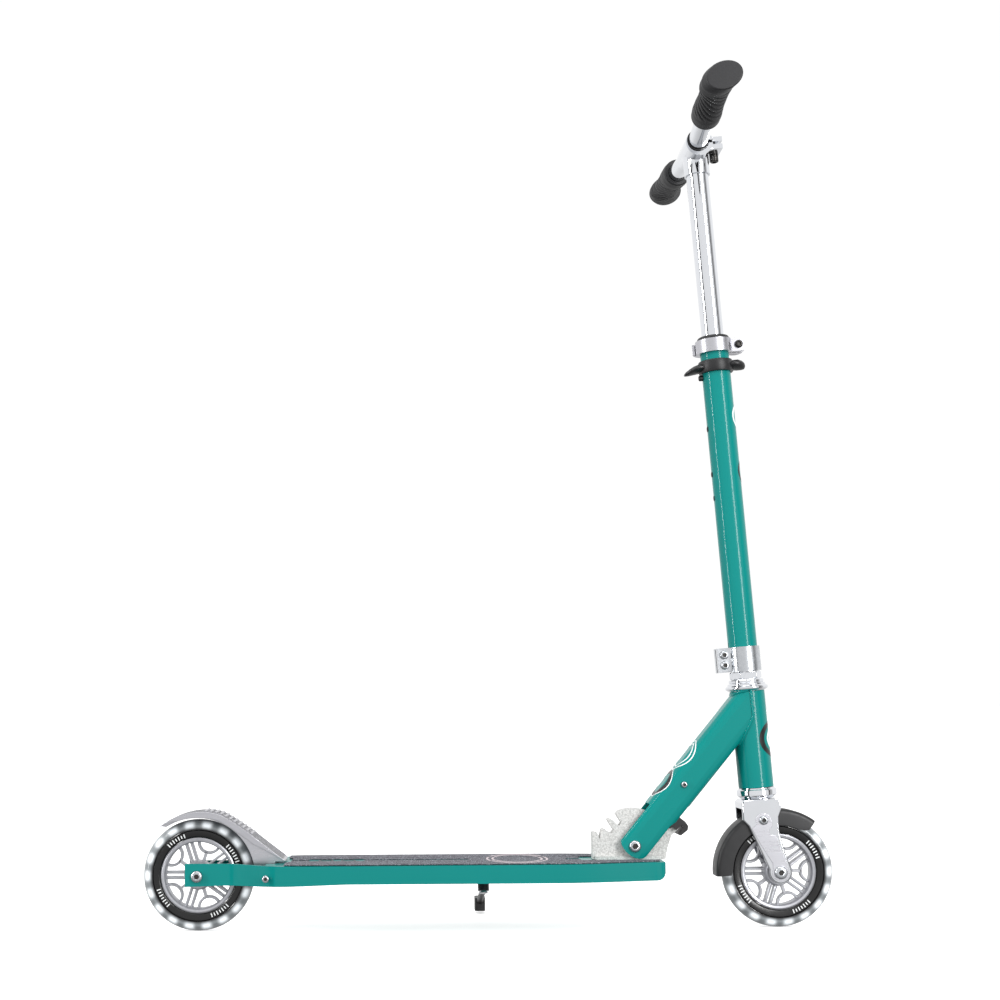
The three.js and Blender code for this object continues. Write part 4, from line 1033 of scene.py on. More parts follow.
    def build_bearing(self, shop: Workshop, place: Matrix, side: Side) -> None:
        """Builds a shielded ball bearing."""
        word = side.name.lower()
        inner, outer = 5.3, self.tyre_half
        mesh = bmesh.new()
        turned(mesh, [
            (4.3, inner), (self.bearing_r, inner), (self.bearing_r, outer - 0.3),
            (self.bearing_r - 0.3, outer), (9.2, outer), (8.9, outer - 0.6), (6.6, outer - 0.6),
            (6.3, outer), (4.6, outer), (4.3, outer - 0.3),
        ], place @ Matrix.Scale(side.value, 4, (0, 0, 1)), 64)
        shop.piece(
            f"{self.prefix}_bearing_{word}_steel", mesh, ZINC_PLATE, self.body,
            (f"{self.prefix}_bearing_{word}",),
        )


# ------------------------------------------------------------------------------------- fasteners


@dataclass
class CrossBolt:
    """A socket-head bolt across the scooter, with a dome nut or plain end on the left."""

    node: str
    body: Body
    shank_r: float
    head_r: float
    reach: float
    x: float
    z: float
    frame: Matrix = field(default_factory=lambda: Matrix.Identity(4))
    dome: float = 3.0
    socket: float = 0.5
    nut: bool = True
    left_reach: float | None = None
    finish: Finish = ZINC_PLATE

    def build(self, shop: Workshop) -> None:
        """Builds the bolt as one piece, and a dark plug at the bottom of its socket as painted
        shade.
        """
        left = self.reach if self.left_reach is None else self.left_reach
        turn = Matrix.Rotation(-math.pi / 2, 4, "X")
        place = self.frame @ Matrix.Translation((self.x, 0, self.z)) @ turn
        r, d, s = self.head_r, self.dome, self.head_r * self.socket
        face = -self.reach - 0.3
        mesh = bmesh.new()
        turned(mesh, [
            (0, left + 0.2), (self.shank_r, left + 0.2), (self.shank_r, face), (r, face),
            (r, face - d * 0.35), (r * 0.93, face - d * 0.7), (r * 0.75, face - d * 0.93),
            (s * 1.25, face - d), (s * 1.1, face - d, 6), (s, face - d + 0.3, 6),
            (s, face - d * 0.4, 6), (0, face - d * 0.3),
        ], place, 48)
        if self.nut:
            turned(mesh, [
                (0, left + 0.3), (r, left + 0.3), (r, left + 0.3 + d * 0.5),
                (r * 0.9, left + 0.3 + d * 0.8), (r * 0.6, left + 0.3 + d), (0, left + 0.3 + d),
            ], place, 48)
        shop.piece(f"{self.node}_steel", mesh, self.finish, self.body, (self.node,), crease=40)
        # Dark plug at the bottom of the socket: painted shade in the recess.
        mesh = bmesh.new()
        floor = face - d * 0.4
        turned(mesh, [
            (0, floor + 0.2), (s * 0.97, floor + 0.2, 6), (s * 0.97, floor - 0.35, 6),
            (0, floor - 0.35),
        ], place, 48)
        shop.piece(f"{self.node}_socket", mesh, BLACK_OXIDE_AND_SOCKET_SHADE, self.body)


# ------------------------------------------------------------------------------------- deck


@dataclass
class Deck:
    """Teal channel deck with its grit sheets, printed rings and cast fold bracket."""

    top: float = 77.0
    sheet_top: float = 78.2
    oval_x: float = 33.0
    oval_half: float = 35.0
    loops: tuple[float, ...] = (-183.0, -158.0)
    infill_h: float = 0.9
    infill_edge: float = 20.5
    infill: tuple[tuple[float, float, float], ...] = (  # start, end and inner edge
        (-222.0, -202.0, 6.0), (-202.0, -140.0, 12.0), (-140.0, -22.0, 6.0), (-22.0, 88.0, 0.4),
        (88.0, 104.0, 6.0),
    )

    def on_top(self, x: float, level: float) -> Surface:
        """A level surface above the deck, measured from its middle at x."""
        return lambda along, around, lift: Vector((x + along, around, level + lift))

    def build(self, shop: Workshop) -> None:
        """Builds the deck's pieces."""
        shop.refine("deck", POWDER_COAT, Body.DECK, 0.9)
        for word in ("left", "right"):
            shop.refine(f"grip_tape_{word}", GRIT_SHEET, Body.DECK, 0.25)
        shop.refine("fold_bracket", BLASTED_CAST, Body.DECK, 0.7)
        self.build_prints(shop)
        mesh = bmesh.new()
        place = Matrix.Identity(4)
        for start, end, inner in self.infill:
            for side in Side:
                near, far = sorted((side.value * inner, side.value * self.infill_edge))
                outline = [(start, near), (end, near), (end, far), (start, far)]
                slab(mesh, outline, self.top - 0.1, self.top + self.infill_h, place)
        shop.piece("grip_tape_infill", mesh, GRIT_SHEET, Body.DECK, bevel=0.2)
        for node in ("kickstand_mount", "kickstand_nut"):
            shop.refine(node, ZINC_PLATE, Body.DECK, 0.4)
        for node in ("brake_spring", "rear_spacer_left", "rear_spacer_right"):
            shop.carry(node, ZINC_PLATE)

    def build_prints(self, shop: Workshop) -> None:
        """Builds the plain rings printed on the standing surface."""
        mesh = bmesh.new()
        surface = self.on_top(self.oval_x, self.sheet_top)
        for outer in (self.oval_half, self.oval_half - 6.0):
            for start in (30, 210):
                wrapped_ring(mesh, surface, outer - 2.4, outer, start, start + 120, 1.4)
        shop.piece("deck_print_ring", mesh, PALE_INK, Body.DECK)
        mesh = bmesh.new()
        for x in self.loops:
            wrapped_ring(mesh, self.on_top(x, self.top), 6.5, 8.5)
        ends = bmesh.new()
        inner = self.on_top(self.oval_x, self.top + self.infill_h)
        for outer in (self.oval_half, self.oval_half - 6.0):
            for start in (-24, 156):
                wrapped_ring(ends, inner, outer - 2.4, outer, start, start + 48, 1.4)
        shop.piece("deck_print_loops", mesh, BLACK_INK_AND_HOLE_SHADE, Body.DECK)
        shop.piece("deck_print_ends", ends, PALE_INK, Body.DECK)


# ------------------------------------------------------------------------------------- brake


@dataclass
class FenderBrake:
    """Pressed aluminium brake over the rear wheel, with a ribbed tread."""

    pivot_x: float = -246.5
    pivot_z: float = 63.0
    toe_z: float = 78.5
    half: float = 24.0
    clear_r: float = 65.1
    edge: float = 1.8
    inset: float = 2.2
    band: float = 7.0
    ribs: int = 11
    rib_r: float = 1.5

    def top_curve(self) -> list[Point]:
        """Side view of the top, from the rear tip to the toe."""
        x = -LAYOUT.axle_x
        p = self.pivot_x
        points = [
            (x - 41, 119), (x - 27, 127.5), (x - 11, 132.6), (x + 5, 134.3), (x + 19, 133),
            (x + 32, 128), (x + 58, 111), (p - 8, 100), (p + 19, self.toe_z + 1),
        ]
        return smooth_curve(points, 8)

    def build(self, shop: Workshop) -> None:
        """Builds the brake and its ribs as one piece."""
        top = self.top_curve()
        x, z, p = -LAYOUT.axle_x, LAYOUT.axle_z, self.pivot_x
        under = [
            (p + 18, self.toe_z), (p + 8, self.toe_z),
            (p + 6, self.pivot_z - 6), (p - 8, self.pivot_z - 7),
        ]
        outline = [*top, *under, *arc(x, z, self.clear_r, -2, 122, 44)]
        place = Matrix.Rotation(math.pi / 2, 4, "X")
        mesh = bmesh.new()
        slab(mesh, outline, -self.half + self.inset, self.half - self.inset, place)
        under_band = []
        for (ax, az), (bx, bz) in zip(top, top[1:]):
            run, rise = bx - ax, bz - az
            length = math.hypot(run, rise)
            share = min(1.0, len(under_band) / 14, (len(top) - 1 - len(under_band)) / 10)
            depth = max(1.2, self.band * share)
            low_x, low_z = ax + rise / length * depth - x, az - run / length * depth - z
            clear = max(1.0, self.clear_r / math.hypot(low_x, low_z))
            under_band.append((x + low_x * clear, z + low_z * clear))
        slab(mesh, [*top[:-1], *reversed(under_band)], -self.half, self.half, place)
        seed = bmesh.new()
        run = [(a, b) for a, b in top if x + 8 < a < x + 62]
        spots = [seed.verts.new((a, 0, b + 0.15)) for a, b in run]
        for first, second in zip(spots, spots[1:]):
            seed.edges.new((first, second))
        ribs = shop.grown(
            seed, rib_tree(BRUSHED_POLISH),
            {"Count": self.ribs, "Length": 2 * self.half - 9, "Radius": self.rib_r},
            BRUSHED_POLISH,
        )
        shop.piece("brake_pressing", mesh, BRUSHED_POLISH, Body.BRAKE, ("brake",), self.edge)
        mesh = bmesh.new()
        add_mesh(mesh, ribs, Matrix.Identity(4))
        shop.piece("brake_tread_ribs", mesh, BRUSHED_POLISH, Body.BRAKE)


# ------------------------------------------------------------------------------------- fold frame


@dataclass
class FoldFrame:
    """Down tube and head tube, welded together, with their headset cups and latch."""

    head_r: float = 19.5
    head_low: float = 94.6
    head_high: float = 203.9
    section_half: float = 20.0
    above: float = 17.2
    below: float = 21.6
    corner: float = 11.0
    bead_r: float = 1.7

    def section(self, steps: int = 10) -> list[Point]:
        """Down tube's cross-section as (y, z) in the tube frame."""
        w, r = self.section_half - self.corner, self.corner
        top, low = self.above - r, -self.below + r
        return [
            *arc(w, top, r, 0, 90, steps), *arc(-w, top, r, 90, 180, steps),
            *arc(-w, low, r, 180, 270, steps), *arc(w, low, r, 270, 360, steps),
        ]

    def on_tube(self, centre: float) -> Surface:
        """Surface of the down tube's upper face, wrapping over its corners."""
        flat = self.section_half - self.corner
        quarter = self.corner * math.pi / 2

        def surface(along: float, around: float, lift: float) -> Vector:
            side = 1 if around >= 0 else -1
            run = abs(around)
            if run <= flat:
                y, z = run, self.above + lift
            elif run <= flat + quarter:
                angle = (run - flat) / self.corner
                y = flat + (self.corner + lift) * math.sin(angle)
                z = self.above - self.corner + (self.corner + lift) * math.cos(angle)
            else:
                y, z = self.section_half + lift, self.above - self.corner - (run - flat - quarter)
            return LAYOUT.tube @ Vector((centre + along, side * y, z))

        return surface

    def weld_path(self) -> list[Vector]:
        """Where the down tube's skin meets the head tube."""
        to_stem = LAYOUT.stem.inverted() @ LAYOUT.tube
        path = []
        for y, z in self.section():
            low, high = 100.0, 300.0
            for _ in range(40):
                middle = (low + high) / 2
                spot = to_stem @ Vector((middle, y, z))
                outside = math.hypot(spot.x, spot.y) > self.head_r and spot.x < 0
                low, high = (middle, high) if outside else (low, middle)
            path.append(LAYOUT.tube @ Vector((low, y, z)))
        return path

    def build(self, shop: Workshop) -> None:
        """Builds the fold frame's pieces."""
        stem = LAYOUT.stem
        shop.refine("down_tube", POWDER_COAT, Body.FRAME, 0.7)
        mesh = bmesh.new()
        loft(mesh, cord_ring(self.weld_path(), self.bead_r, 12), loop=True)
        shop.piece("down_tube_weld", mesh, POWDER_COAT, Body.FRAME, crease=80)
        mesh = bmesh.new()
        turned(mesh, tube(self.head_r, 16, self.head_low, self.head_high), stem, 96)
        shop.piece("head_tube_painted", mesh, POWDER_COAT, Body.FRAME, ("head_tube",))
        self.build_cups(shop, stem)
        self.build_prints(shop, stem)
        shop.refine("fold_latch", MOULDED_NYLON, Body.LATCH, 0.5)
        shop.carry("lock_pin", ZINC_PLATE)

    def build_cups(self, shop: Workshop, stem: Matrix) -> None:
        """Builds the chrome headset cups."""
        bore, r = 14.8, self.head_r
        low, top = 82.3, 94.3
        mesh = bmesh.new()
        turned(mesh, [
            (bore, low), (r - 1.4, low), (r - 1, low + 0.5), (r + 1.8, low + 2.6),
            (r + 2.7, low + 3.8), (r + 2.8, top - 3.4), (r + 2.4, top - 2.2), (r + 1, top - 1.4),
            (r + 0.6, top), (bore, top),
        ], stem, 96)
        shop.piece("lower_cup_chrome", mesh, CHROME_PLATE, Body.FRAME, ("lower_cup",))
        low = self.head_high + 0.3
        mesh = bmesh.new()
        turned(mesh, [
            (bore, low), (r + 1.2, low), (r + 2, low + 0.6), (r + 4, low + 1.8),
            (r + 4.4, low + 2.8), (r + 4.4, low + 4), (r + 4, low + 4.9), (r + 1.9, low + 6.2),
            (r + 1.5, low + 8.2), (bore, low + 8.2),
        ], stem, 96)
        shop.piece("upper_cup_chrome", mesh, CHROME_PLATE, Body.FRAME, ("upper_cup",))

    def build_prints(self, shop: Workshop, stem: Matrix) -> None:
        """Builds the plain printed rings."""
        mesh = bmesh.new()
        wrapped_ring(mesh, self.on_tube(116.5), 19.9, 21.2)
        wrapped_ring(mesh, self.on_tube(116.5), 15.4, 16.8)
        wrapped_ring(mesh, self.on_tube(76.0), 18.6, 19.6)
        wrapped_ring(mesh, around_stem(148, self.head_r), 8.0, 11.6, squeeze=1.25)
        shop.piece("frame_print_white", mesh, WHITE_INK, Body.FRAME)
        mesh = bmesh.new()
        wrapped_ring(mesh, self.on_tube(76.0), 13.5, 18.5)
        wrapped_ring(mesh, around_stem(148, self.head_r), 15.6, 20.8, squeeze=1.25)
        shop.piece("frame_print_black", mesh, BLACK_INK_AND_HOLE_SHADE, Body.FRAME)


def around_stem(level: float, radius: float) -> Surface:
    """Surface of a tube on the steering axis, centred on its front."""

    def surface(along: float, around: float, lift: float) -> Vector:
        angle = around / radius
        reach = radius + lift
        local = Vector((reach * math.cos(angle), reach * math.sin(angle), level + along))
        return LAYOUT.stem @ local

    return surface


# ------------------------------------------------------------------------------------- steering


@dataclass
class FrontFender:
    """Moulded fender with side skirts and rounded ends."""

    outer: float = 70.5
    wall: float = 2.4
    half: float = 15.0
    inner: float = 52.0
    start: float = 53.5
    end: float = 184.0
    corner: float = 5.0
    steps: int = 60

    def skirt(self, share: float) -> float:
        """Inner radius of the skirt at a share of the way from front to rear."""
        return blend_table(
            ((0.0, 57.5), (0.04, 54.0), (0.1, self.inner), (0.95, self.inner), (1.0, 54.0)), share
        )

    def build(self, shop: Workshop) -> None:
        """Builds the fender."""
        x, z = LAYOUT.axle_x, LAYOUT.axle_z
        rings = []
        for i in range(self.steps + 1):
            share = i / self.steps
            angle = math.radians(self.start + (self.end - self.start) * share)
            low = self.skirt(share)
            o, c, w = self.outer, self.corner, self.wall
            right = [(self.half - c + a, o - c + b) for a, b in arc(0, 0, c, 0, 90, 6)]
            left = [(-a, b) for a, b in reversed(right)]
            inside = [(self.half - c + a, o - c + b) for a, b in arc(0, 0, c - w, 0, 90, 6)]
            back = [(-a, b) for a, b in reversed(inside)]
            section = [
                (self.half, low), *right, *left, (-self.half, low), (-self.half + w, low),
                *reversed(back), *reversed(inside), (self.half - w, low),
            ]
            rings.append([
                Vector((x + r * math.cos(angle), y, z + r * math.sin(angle))) for y, r in section
            ])
        mesh = bmesh.new()
        loft(mesh, rings)
        shop.piece(
            "front_fender_moulding", mesh, MOULDED_NYLON, Body.STEERING, ("front_fender",), 0.5
        )


@dataclass
class Stem:
    """Fork, headset nuts, outer tube, clamps, quick release and strap ring."""

    tube_r: float = 16.3
    bore: float = 14.8
    top: float = 610.0
    lock_low: float = 212.7
    lock_r: float = 19.5
    hex_low: float = 217.3
    hex_r: float = 18.2
    hex_h: float = 8.7
    steerer_bore: float = 14.6
    wing_low: float = 572.0
    wing_h: float = 14.0
    inner_tube_r: float = 12.7
    fork_half: float = 19.6

    def build(self, shop: Workshop) -> None:
        """Builds the steering body's pieces."""
        stem = LAYOUT.stem
        shop.refine("fork", CHROME_PLATE, Body.STEERING, 0.8)
        self.build_relief(shop, stem)
        FrontFender().build(shop)
        mesh = bmesh.new()
        ring_top = self.lock_low + 4.3
        turned(mesh, [
            (self.steerer_bore, self.lock_low), (self.lock_r - 0.7, self.lock_low),
            (self.lock_r, self.lock_low + 0.8), (self.lock_r, ring_top - 1),
            (self.lock_r - 0.8, ring_top), (self.steerer_bore, ring_top),
        ], stem, 96)
        shop.piece("lock_ring_chrome", mesh, CHROME_PLATE, Body.STEERING, ("headset_lock_ring",))
        mesh = bmesh.new()
        low, top, r = self.hex_low, self.hex_low + self.hex_h, self.hex_r
        turned(mesh, [
            (self.steerer_bore, low), (r * 0.9, low), (r, low + 1.2, 6), (r, top - 1.2, 6),
            (r * 0.9, top), (self.steerer_bore, top),
        ], stem, 96)
        shop.piece(
            "hex_nut_chrome", mesh, CHROME_PLATE, Body.STEERING, ("headset_hex_nut",), 0.3, 20
        )
        shop.refine("stem_clamp", ZINC_PLATE, Body.STEERING, 0.5)
        shop.refine("stem_tube", POWDER_COAT, Body.STEERING, 0.2)
        shop.refine("collar", BRUSHED_POLISH, Body.STEERING, 0.6)
        shop.refine("collar_lever", BRUSHED_POLISH, Body.LEVER, 0.7)
        shop.refine("spring_button", MOULDED_NYLON, Body.BUTTON, 0.4)
        self.build_seal(shop, stem)
        self.build_wings(shop, stem)
        self.build_prints(shop)
        for node in ("front_spacer_left", "front_spacer_right"):
            shop.carry(node, ZINC_PLATE)

    def build_seal(self, shop: Workshop, stem: Matrix) -> None:
        """Builds the wiper ring that closes the outer tube's top."""
        bore, t = self.inner_tube_r + 0.5, self.top
        mesh = bmesh.new()
        turned(mesh, [
            (bore, t - 20), (self.bore - 0.3, t - 20), (self.bore - 0.3, t + 0.3),
            (self.tube_r + 1.6, t + 0.3), (self.tube_r + 2, t + 0.9), (self.tube_r + 1.9, t + 2.4),
            (self.tube_r + 1, t + 3.9), (self.tube_r - 0.6, t + 4.6), (bore, t + 4.6),
        ], stem, 96)
        shop.piece("seal_ring_moulding", mesh, MOULDED_NYLON, Body.STEERING, ("seal_ring",))

    def build_wings(self, shop: Workshop, stem: Matrix) -> None:
        """Builds the strap ring with its drooping rear wing and upturned front wing."""
        low, r = self.wing_low, self.tube_r + 0.3
        mesh = bmesh.new()
        turned(mesh, [
            (r, low), (r + 2.4, low), (r + 2.9, low + 0.6), (r + 2.9, low + 13),
            (r + 2.3, low + self.wing_h), (r, low + self.wing_h),
        ], stem, 96)
        rear = ((-14.0, 11.0, 6.6, 10.0), (-20.0, 14.0, 6.4, 10.0), (-26.0, 13.0, 5.0, 9.0),
                (-31.0, 10.0, 3.2, 7.0), (-35.0, 6.5, 1.6, 4.6), (-36.8, 4.0, 0.8, 2.4))
        front = ((14.0, 11.0, 8.0, 10.0), (20.0, 13.5, 8.0, 11.0), (25.0, 12.5, 7.8, 12.0),
                 (29.5, 9.5, 7.0, 10.6), (32.4, 6.0, 6.2, 8.0), (33.4, 3.5, 6.0, 4.6))
        for stations in (rear, front):
            rings = []
            for x, half, z, thick in stations:
                outline = [
                    (half * math.cos(a), thick / 2 * math.sin(a))
                    for a in (2 * math.pi * k / 24 for k in range(24))
                ]
                rings.append([stem @ Vector((x, y, low + z - dz)) for y, dz in outline])
            wing = bmesh.new()
            loft(wing, rings)
            bore = self.tube_r + 0.35
            for vert in wing.verts:
                local = stem.inverted() @ vert.co
                reach = math.hypot(local.x, local.y)
                if reach < bore:
                    local.x *= bore / reach
                    local.y *= bore / reach
                    vert.co = stem @ local
            scratch = bpy.data.meshes.new("wing")
            wing.to_mesh(scratch)
            wing.free()
            add_mesh(mesh, scratch, Matrix.Identity(4))
        shop.piece(
            "wing_ring_moulding", mesh, MOULDED_NYLON, Body.STEERING, ("wing_ring",), 0.3, 50
        )

    def build_relief(self, shop: Workshop, stem: Matrix) -> None:
        """Builds the stamped panels and axle bosses on the fork's faces."""
        axle = stem.inverted() @ Vector((LAYOUT.axle_x, 0.0, LAYOUT.axle_z))
        face = self.fork_half - 0.4
        for side in Side:
            mesh = bmesh.new()
            outline = [
                (-13.6, 50.0), (-6.4, 33.0), (axle.x - 8.0, axle.z + 10.4),
                *arc(axle.x, axle.z, 9.8, 150, 390, 20), (17.2, 22.5), (12.8, 40.0),
                (6.2, 41.5), (5.4, 47.0), (9.0, 50.5), (9.6, 57.0), (7.0, 63.5), (1.0, 66.4),
                (-5.6, 65.0), (-8.6, 59.4), (-8.2, 54.0),
            ]
            place = stem @ Matrix.Rotation(math.pi / 2, 4, "X")
            levels = sorted((-side.value * face, -side.value * (self.fork_half + 0.75)))
            slab(mesh, outline, *levels, place)
            word = side.name.lower()
            shop.piece(f"fork_stamping_{word}", mesh, BRUSHED_POLISH, Body.STEERING, bevel=0.35)

    def build_prints(self, shop: Workshop) -> None:
        """Builds the plain rings on the stem's front, and black discs with raised rims in its rear
        holes that paint the shade inside them.
        """
        mesh = bmesh.new()
        wrapped_ring(mesh, around_stem(519, self.tube_r), 10.6, 13.4)
        shop.piece("stem_print_white", mesh, WHITE_INK, Body.STEERING)
        mesh = bmesh.new()
        wrapped_ring(mesh, around_stem(455, self.tube_r), 9.4, 12.6)
        turn = Matrix.Rotation(-math.pi / 2, 4, "Y")
        # Black discs with a raised rim fill the rear holes: painted shade inside the holes.
        for level in (507.5, 454.5, 427.0):
            place = LAYOUT.stem @ Matrix.Translation((-self.tube_r + 0.6, 0, level)) @ turn
            turned(
                mesh, [(0, 0), (3.1, 0), (3.1, 0.8), (2.6, 0.95), (2.3, 0.4), (0, 0.4)], place, 32
            )
        shop.piece("stem_print_black", mesh, BLACK_INK_AND_HOLE_SHADE, Body.STEERING)


# ------------------------------------------------------------------------------------- T-bar


@dataclass
class Grip:
    """A soft grip with diagonal grooves and a flared oval end."""

    side: Side
    length: float = 95.0
    groove_pitch: float = 8.2
    groove_depth: float = 1.7
    groove_half: float = 0.85
    tilt: float = -20.0
    stations: int = 130
    around: int = 96
    fore: tuple[Point, ...] = (
        (0.0, 15.0), (0.02, 16.2), (0.14, 16.6), (0.2, 16.2), (0.45, 15.6), (0.6, 16.4),
        (0.8, 19.4), (0.93, 20.6), (0.985, 20.4), (1.0, 19.4),
    )
    high: tuple[Point, ...] = (
        (0.0, 15.0), (0.02, 16.2), (0.14, 16.6), (0.2, 16.2), (0.45, 14.9), (0.62, 14.0),
        (0.8, 14.8), (0.93, 15.9), (0.985, 15.8), (1.0, 15.0),
    )
    ahead: tuple[Point, ...] = (
        (0.0, 0.0), (0.3, 0.0), (0.5, 0.8), (0.66, 1.4), (0.8, 1.2), (0.9, 3.0), (1.0, 6.6),
    )

    def groove(self, share: float, angle: float) -> float:
        """Depth of the grooves at a share of the length and an angle."""
        fade = blend_table(((0.2, 0.0), (0.27, 1.0), (0.74, 1.0), (0.84, 0.0)), share)
        if fade <= 0:
            return 0.0
        phase = share * self.length / self.groove_pitch + 1.9 * math.sin(angle * self.flip + 0.6)
        gap = abs(phase - round(phase)) * self.groove_pitch
        return fade * self.groove_depth * math.exp(-((gap / self.groove_half) ** 2))

    def build(self, shop: Workshop, place: Matrix, reach: float) -> None:
        """Builds the grip.

        Args:
            shop: The workshop.
            place: Frame with Z out along the bar, X forward.
            reach: Distance from the bar's middle to the grip's end.
        """
        bore, start = 11.3, reach - self.length
        lean = math.radians(self.tilt)
        rings = [self.plain_ring(place, bore, reach - 4), self.plain_ring(place, bore, start)]
        for i in range(self.stations + 1):
            share = i / self.stations
            a, b = blend_table(self.fore, share), blend_table(self.high, share)
            ring = []
            for k in range(self.around):
                angle = 2 * math.pi * k / self.around
                radius = a * b / math.hypot(b * math.cos(angle), a * math.sin(angle))
                radius -= self.groove(share, angle)
                turn = angle + lean * self.flip
                spot = Vector((
                    radius * math.cos(turn) + blend_table(self.ahead, share),
                    radius * math.sin(turn), start + share * self.length,
                ))
                ring.append(place @ spot)
            rings.append(ring)
        for shrink in (0.93, 0.6, 0.25):
            last = rings[-1] if shrink == 0.93 else base
            if shrink == 0.93:
                base = last
            middle = sum(base, Vector()) / len(base)
            out = (place.to_3x3() @ Vector((0, 0, 1))).normalized()
            rings.append(
                [middle + (spot - middle) * shrink + out * 0.5 * (1 - shrink) for spot in base]
            )
        mesh = bmesh.new()
        loft(mesh, rings)
        word = self.side.name.lower()
        shop.piece(
            f"grip_{word}_rubber", mesh, GRIP_RUBBER, Body.T_BAR, (f"grip_{word}",), crease=60
        )

    @property
    def flip(self) -> int:
        """Sense of the tilt, so that both ovals lean the same way."""
        return 1 if self.side is Side.LEFT else -1

    def plain_ring(self, place: Matrix, radius: float, level: float) -> list[Vector]:
        """A round ring of the grip's bore."""
        angles = (2 * math.pi * k / self.around for k in range(self.around))
        return [place @ Vector((radius * math.cos(a), radius * math.sin(a), level)) for a in angles]


@dataclass
class TBar:
    """Inner tube, handlebar, its clamp and the grips."""

    tube_r: float = 12.7
    tube_bore: float = 11.2
    low: float = 527.5
    level: float = 836.3
    bar_r: float = 11.0
    bar_bore: float = 9.4
    half: float = 182.0
    rise: float = 4.4
    sweep: float = 2.6

    def half_bar(self, side: Side) -> Matrix:
        """Frame with Z out along one half of the bar and X forward."""
        out = Vector((
            -math.tan(math.radians(self.sweep)), side.value, math.tan(math.radians(self.rise)),
        )).normalized()
        ahead = (Vector((1, 0, 0)) - out * out.x).normalized()
        third = out.cross(ahead)
        turn = Matrix((ahead, third, out)).transposed().to_4x4()
        return LAYOUT.stem @ Matrix.Translation((0, 0, self.level)) @ turn

    def build(self, shop: Workshop) -> None:
        """Builds the T-bar's pieces."""
        stem = LAYOUT.stem
        reach = self.half / math.cos(math.radians(self.rise))
        mesh = bmesh.new()
        top = self.level - self.bar_r - 3.5
        turned(mesh, tube(self.tube_r, self.tube_bore, self.low, top), stem, 96)
        shop.piece("bar_tube_chrome", mesh, CHROME_PLATE, Body.T_BAR, ("bar_tube",))
        mesh = bmesh.new()
        for side in Side:
            profile = tube(self.bar_r, self.bar_bore, -0.4, reach - 4.3)
            turned(mesh, profile, self.half_bar(side), 72)
        shop.piece("handlebar_chrome", mesh, CHROME_PLATE, Body.T_BAR, ("handlebar",))
        shop.refine("bar_clamp", CHROME_PLATE, Body.T_BAR, 0.7)
        shop.refine("bar_shim", MOULDED_NYLON, Body.T_BAR, 0.3)
        shop.refine("bar_clamp_bolt", BLACK_OXIDE_AND_SOCKET_SHADE, Body.T_BAR, 0.3)
        shop.carry("bar_bushing", MOULDED_NYLON)
        for side in Side:
            Grip(side).build(shop, self.half_bar(side), reach - 0.7)


# ------------------------------------------------------------------------------------- studio


